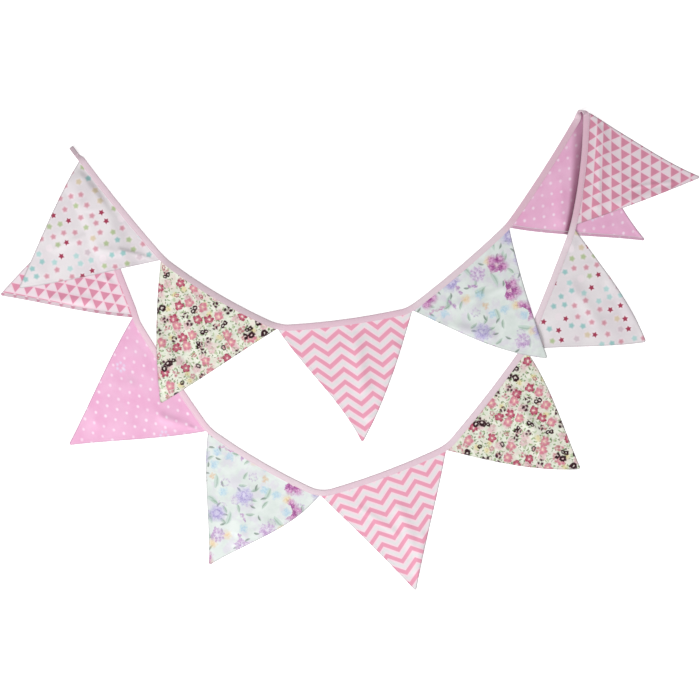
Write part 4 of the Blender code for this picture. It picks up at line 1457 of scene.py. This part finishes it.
def thread_finish():
    """The sewing thread, a shade lighter than the tape."""
    colours = bpy.context.scene.bunting_colours
    dye = Dye("pale_thread", (*colours.thread, 1.0))
    node = dye.new("ShaderNodeTexCoord")
    ply = dye.new("ShaderNodeTexWave", wave_type="BANDS", bands_direction="DIAGONAL")
    ply.inputs["Scale"].default_value = PLY_SCALE
    dye.link(node.outputs["Object"], ply.inputs["Vector"])
    twist = Term(dye.tree, ply.outputs["Fac"])
    dye.lay(paint("C9B2BE"), twist * 0.35)
    dye.relief(twist, 0.4, PLY_DEPTH)
    dye.link(twist * 0.2 + 0.5, dye.shader.inputs["Roughness"])
    return dye.material


# ---------------------------------------------------------------- the add-on
def shade(name, description, code):
    """A colour that a user may change."""
    return bpy.props.FloatVectorProperty(name=name, description=description, subtype="COLOR",
                                         size=3, min=0.0, max=1.0, default=paint(code)[:3])


class BuntingColours(bpy.types.PropertyGroup):
    """Ground colours of the cottons and the tape."""
    stars_ground: shade("Stars ground", "Cotton under the stars", "EAE5E7")
    floral_ground: shade("Small floral ground", "Cotton under the small flowers", "F0F1E3")
    chevron_ground: shade("Chevron ground", "Cotton under the zigzags", "EDE6EA")
    watercolour_ground: shade("Painted floral ground", "Cotton under the painted flowers", "E3EAE6")
    dots_ground: shade("Dots ground", "Pink cotton under the dots", "EEBBD9")
    triangles_ground: shade("Triangles ground", "Cotton between the pink triangles", "EADBE2")
    tape: shade("Tape", "Colour of the binding tape", "E2CBD5")
    thread: shade("Thread", "Colour of the sewing thread", "EBD3DE")


class BuntingSewing(bpy.types.PropertyGroup):
    """Sizes of the sewing."""
    stitch_pitch: bpy.props.FloatProperty(name="Stitch pitch", description="Length of one stitch",
                                          default=0.0033, min=0.002, max=0.006, unit="LENGTH")


class BuntingStage(bpy.types.PropertyGroup):
    """The studio around the bunting."""
    picture_width: bpy.props.FloatProperty(name="Picture width", default=1.33, min=0.5, max=5.0,
                                           description="Width that the camera sees", unit="LENGTH")
    camera_height: bpy.props.FloatProperty(name="Camera height", default=5.0, min=1.0, max=20.0,
                                           description="Height of the camera", unit="LENGTH")


class BUNTING_OT_flags(bpy.types.Operator):
    """Make the twelve printed cotton flags"""
    bl_idname = "bunting.flags"
    bl_label = "Flags"

    def execute(self, context):
        cottons = {name: cotton(name) for name in PRINTS}
        for row in FLAGS:
            flag = row[0]
            piece = make_flag(row)
            piece.data.materials.append(cottons[PRINTS[(flag - 1) % len(PRINTS)]])
            node = f"flag_{flag:02d}"
            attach(piece, "root")
            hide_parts(node)
        return {"FINISHED"}


class BUNTING_OT_tape(bpy.types.Operator):
    """Make the folded binding tape with its hanging loops"""
    bl_idname = "bunting.tape"
    bl_label = "Tape"

    def execute(self, context):
        piece = make_tape()
        piece.data.materials.append(tape_cloth())
        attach(piece, "root")
        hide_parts("binding_tape")
        return {"FINISHED"}


class BUNTING_OT_sewing(bpy.types.Operator):
    """Sew the tape along its mouth and across its loops"""
    bl_idname = "bunting.sewing"
    bl_label = "Stitching"

    def execute(self, context):
        piece = tape_sewing()
        piece.data.materials.append(thread_finish())
        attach(piece, "root")
        return {"FINISHED"}


# ---------------------------------------------------------------- the stage, in metres
LIGHTS = (
    # name, place, target, size, energy
    ("key_light", (-2.2, -2.2, 2.3), (-0.2, -0.1, 0.0), 1.6, 102.0),
    ("fill_light", (0.8, -0.7, 1.9), (0.35, -0.2, 0.0), 1.8, 13.2),
    ("side_light", (-1.0, -0.35, 0.8), (-0.66, -0.04, 0.0), 0.6, 1.2),
)
ROOM_LIGHT = 0.36       # strength of the even white light from all around
FLOOR_SIZE = 12.0
FLOOR_DROP = 0.0002     # the floor lies this far under the bunting
FLOOR_TONE = 0.9
FLOOR_GLOW = 0.5        # keeps the pale floor as even as a studio sweep
PICTURE_MIDDLE = (-0.00018, -0.00018)   # the camera hangs over this place
SENSOR_WIDTH = 36.0     # in millimetres, as Blender has it


def add_area_light(name, place, target, size, energy):
    """A square soft light that looks at a target."""
    light = bpy.data.lights.new(name, "AREA")
    light.size = size
    light.energy = energy
    lamp = bpy.data.objects.new(name, light)
    lamp.location = place
    lamp.rotation_euler = (Vector(target) - Vector(place)).to_track_quat("-Z", "Y").to_euler()
    bpy.context.scene.collection.objects.link(lamp)
    return lamp


def add_floor():
    """The pale surface that the bunting lies on."""
    bpy.ops.object.select_all(action="DESELECT")
    bpy.ops.mesh.primitive_plane_add(size=FLOOR_SIZE, location=(0, 0, -FLOOR_DROP))
    floor = bpy.context.object
    floor.name = "pale_surface"
    material = bpy.data.materials.new("pale_surface")
    material.use_nodes = True
    shader = material.node_tree.nodes["Principled BSDF"]
    shader.inputs["Base Color"].default_value = (FLOOR_TONE, FLOOR_TONE, FLOOR_TONE, 1)
    shader.inputs["Roughness"].default_value = 0.9
    shader.inputs["Emission Color"].default_value = (1, 1, 1, 1)
    shader.inputs["Emission Strength"].default_value = FLOOR_GLOW
    floor.data.materials.append(material)
    return floor


class BUNTING_OT_stage(bpy.types.Operator):
    """Set the pale surface, the soft lights and the camera above"""
    bl_idname = "bunting.stage"
    bl_label = "Stage"

    def execute(self, context):
        floor = add_floor()

        world = bpy.data.worlds.new("studio")
        world.use_nodes = True
        background = world.node_tree.nodes["Background"]
        background.inputs["Color"].default_value = (1.0, 1.0, 1.0, 1)
        background.inputs["Strength"].default_value = ROOM_LIGHT
        context.scene.world = world
        for light in LIGHTS:
            add_area_light(*light)

        settings = context.scene.bunting_stage
        camera = bpy.data.cameras.new("camera")
        camera.sensor_width = SENSOR_WIDTH
        camera.lens = SENSOR_WIDTH * settings.camera_height / settings.picture_width
        camera.clip_end = 100.0
        viewer = bpy.data.objects.new("camera", camera)
        viewer.location = (*PICTURE_MIDDLE, settings.camera_height)
        context.scene.collection.objects.link(viewer)
        context.scene.camera = viewer
        context.scene.view_settings.view_transform = "Standard"
        context.scene.view_settings.look = "None"
        return {"FINISHED"}


class BUNTING_PT_panel(bpy.types.Panel):
    """Lists the steps and settings of the bunting"""
    bl_idname = "BUNTING_PT_panel"
    bl_label = "Bunting"
    bl_space_type = "VIEW_3D"
    bl_region_type = "UI"
    bl_category = "Bunting"

    def draw(self, context):
        for operator in OPERATORS:
            self.layout.operator(operator.bl_idname)
        for group in (context.scene.bunting_colours, context.scene.bunting_sewing,
                      context.scene.bunting_stage):
            for name in group.__annotations__:
                self.layout.prop(group, name)


OPERATORS = (BUNTING_OT_stage, BUNTING_OT_flags, BUNTING_OT_tape, BUNTING_OT_sewing)
CLASSES = (BuntingColours, BuntingSewing, BuntingStage) + OPERATORS + (BUNTING_PT_panel,)


def register():
    """Registers the classes and gives the scene its settings."""
    for item in CLASSES:
        bpy.utils.register_class(item)
    bpy.types.Scene.bunting_colours = bpy.props.PointerProperty(type=BuntingColours)
    bpy.types.Scene.bunting_sewing = bpy.props.PointerProperty(type=BuntingSewing)
    bpy.types.Scene.bunting_stage = bpy.props.PointerProperty(type=BuntingStage)


def unregister():
    """Takes the settings and the classes away again."""
    del bpy.types.Scene.bunting_stage
    del bpy.types.Scene.bunting_sewing
    del bpy.types.Scene.bunting_colours
    for item in reversed(CLASSES):
        bpy.utils.unregister_class(item)


def main():
    """Builds the stage and the bunting."""
    register()
    bpy.ops.bunting.stage()
    bpy.ops.bunting.flags()
    bpy.ops.bunting.tape()
    bpy.ops.bunting.sewing()


if __name__ == "__main__":
    main()
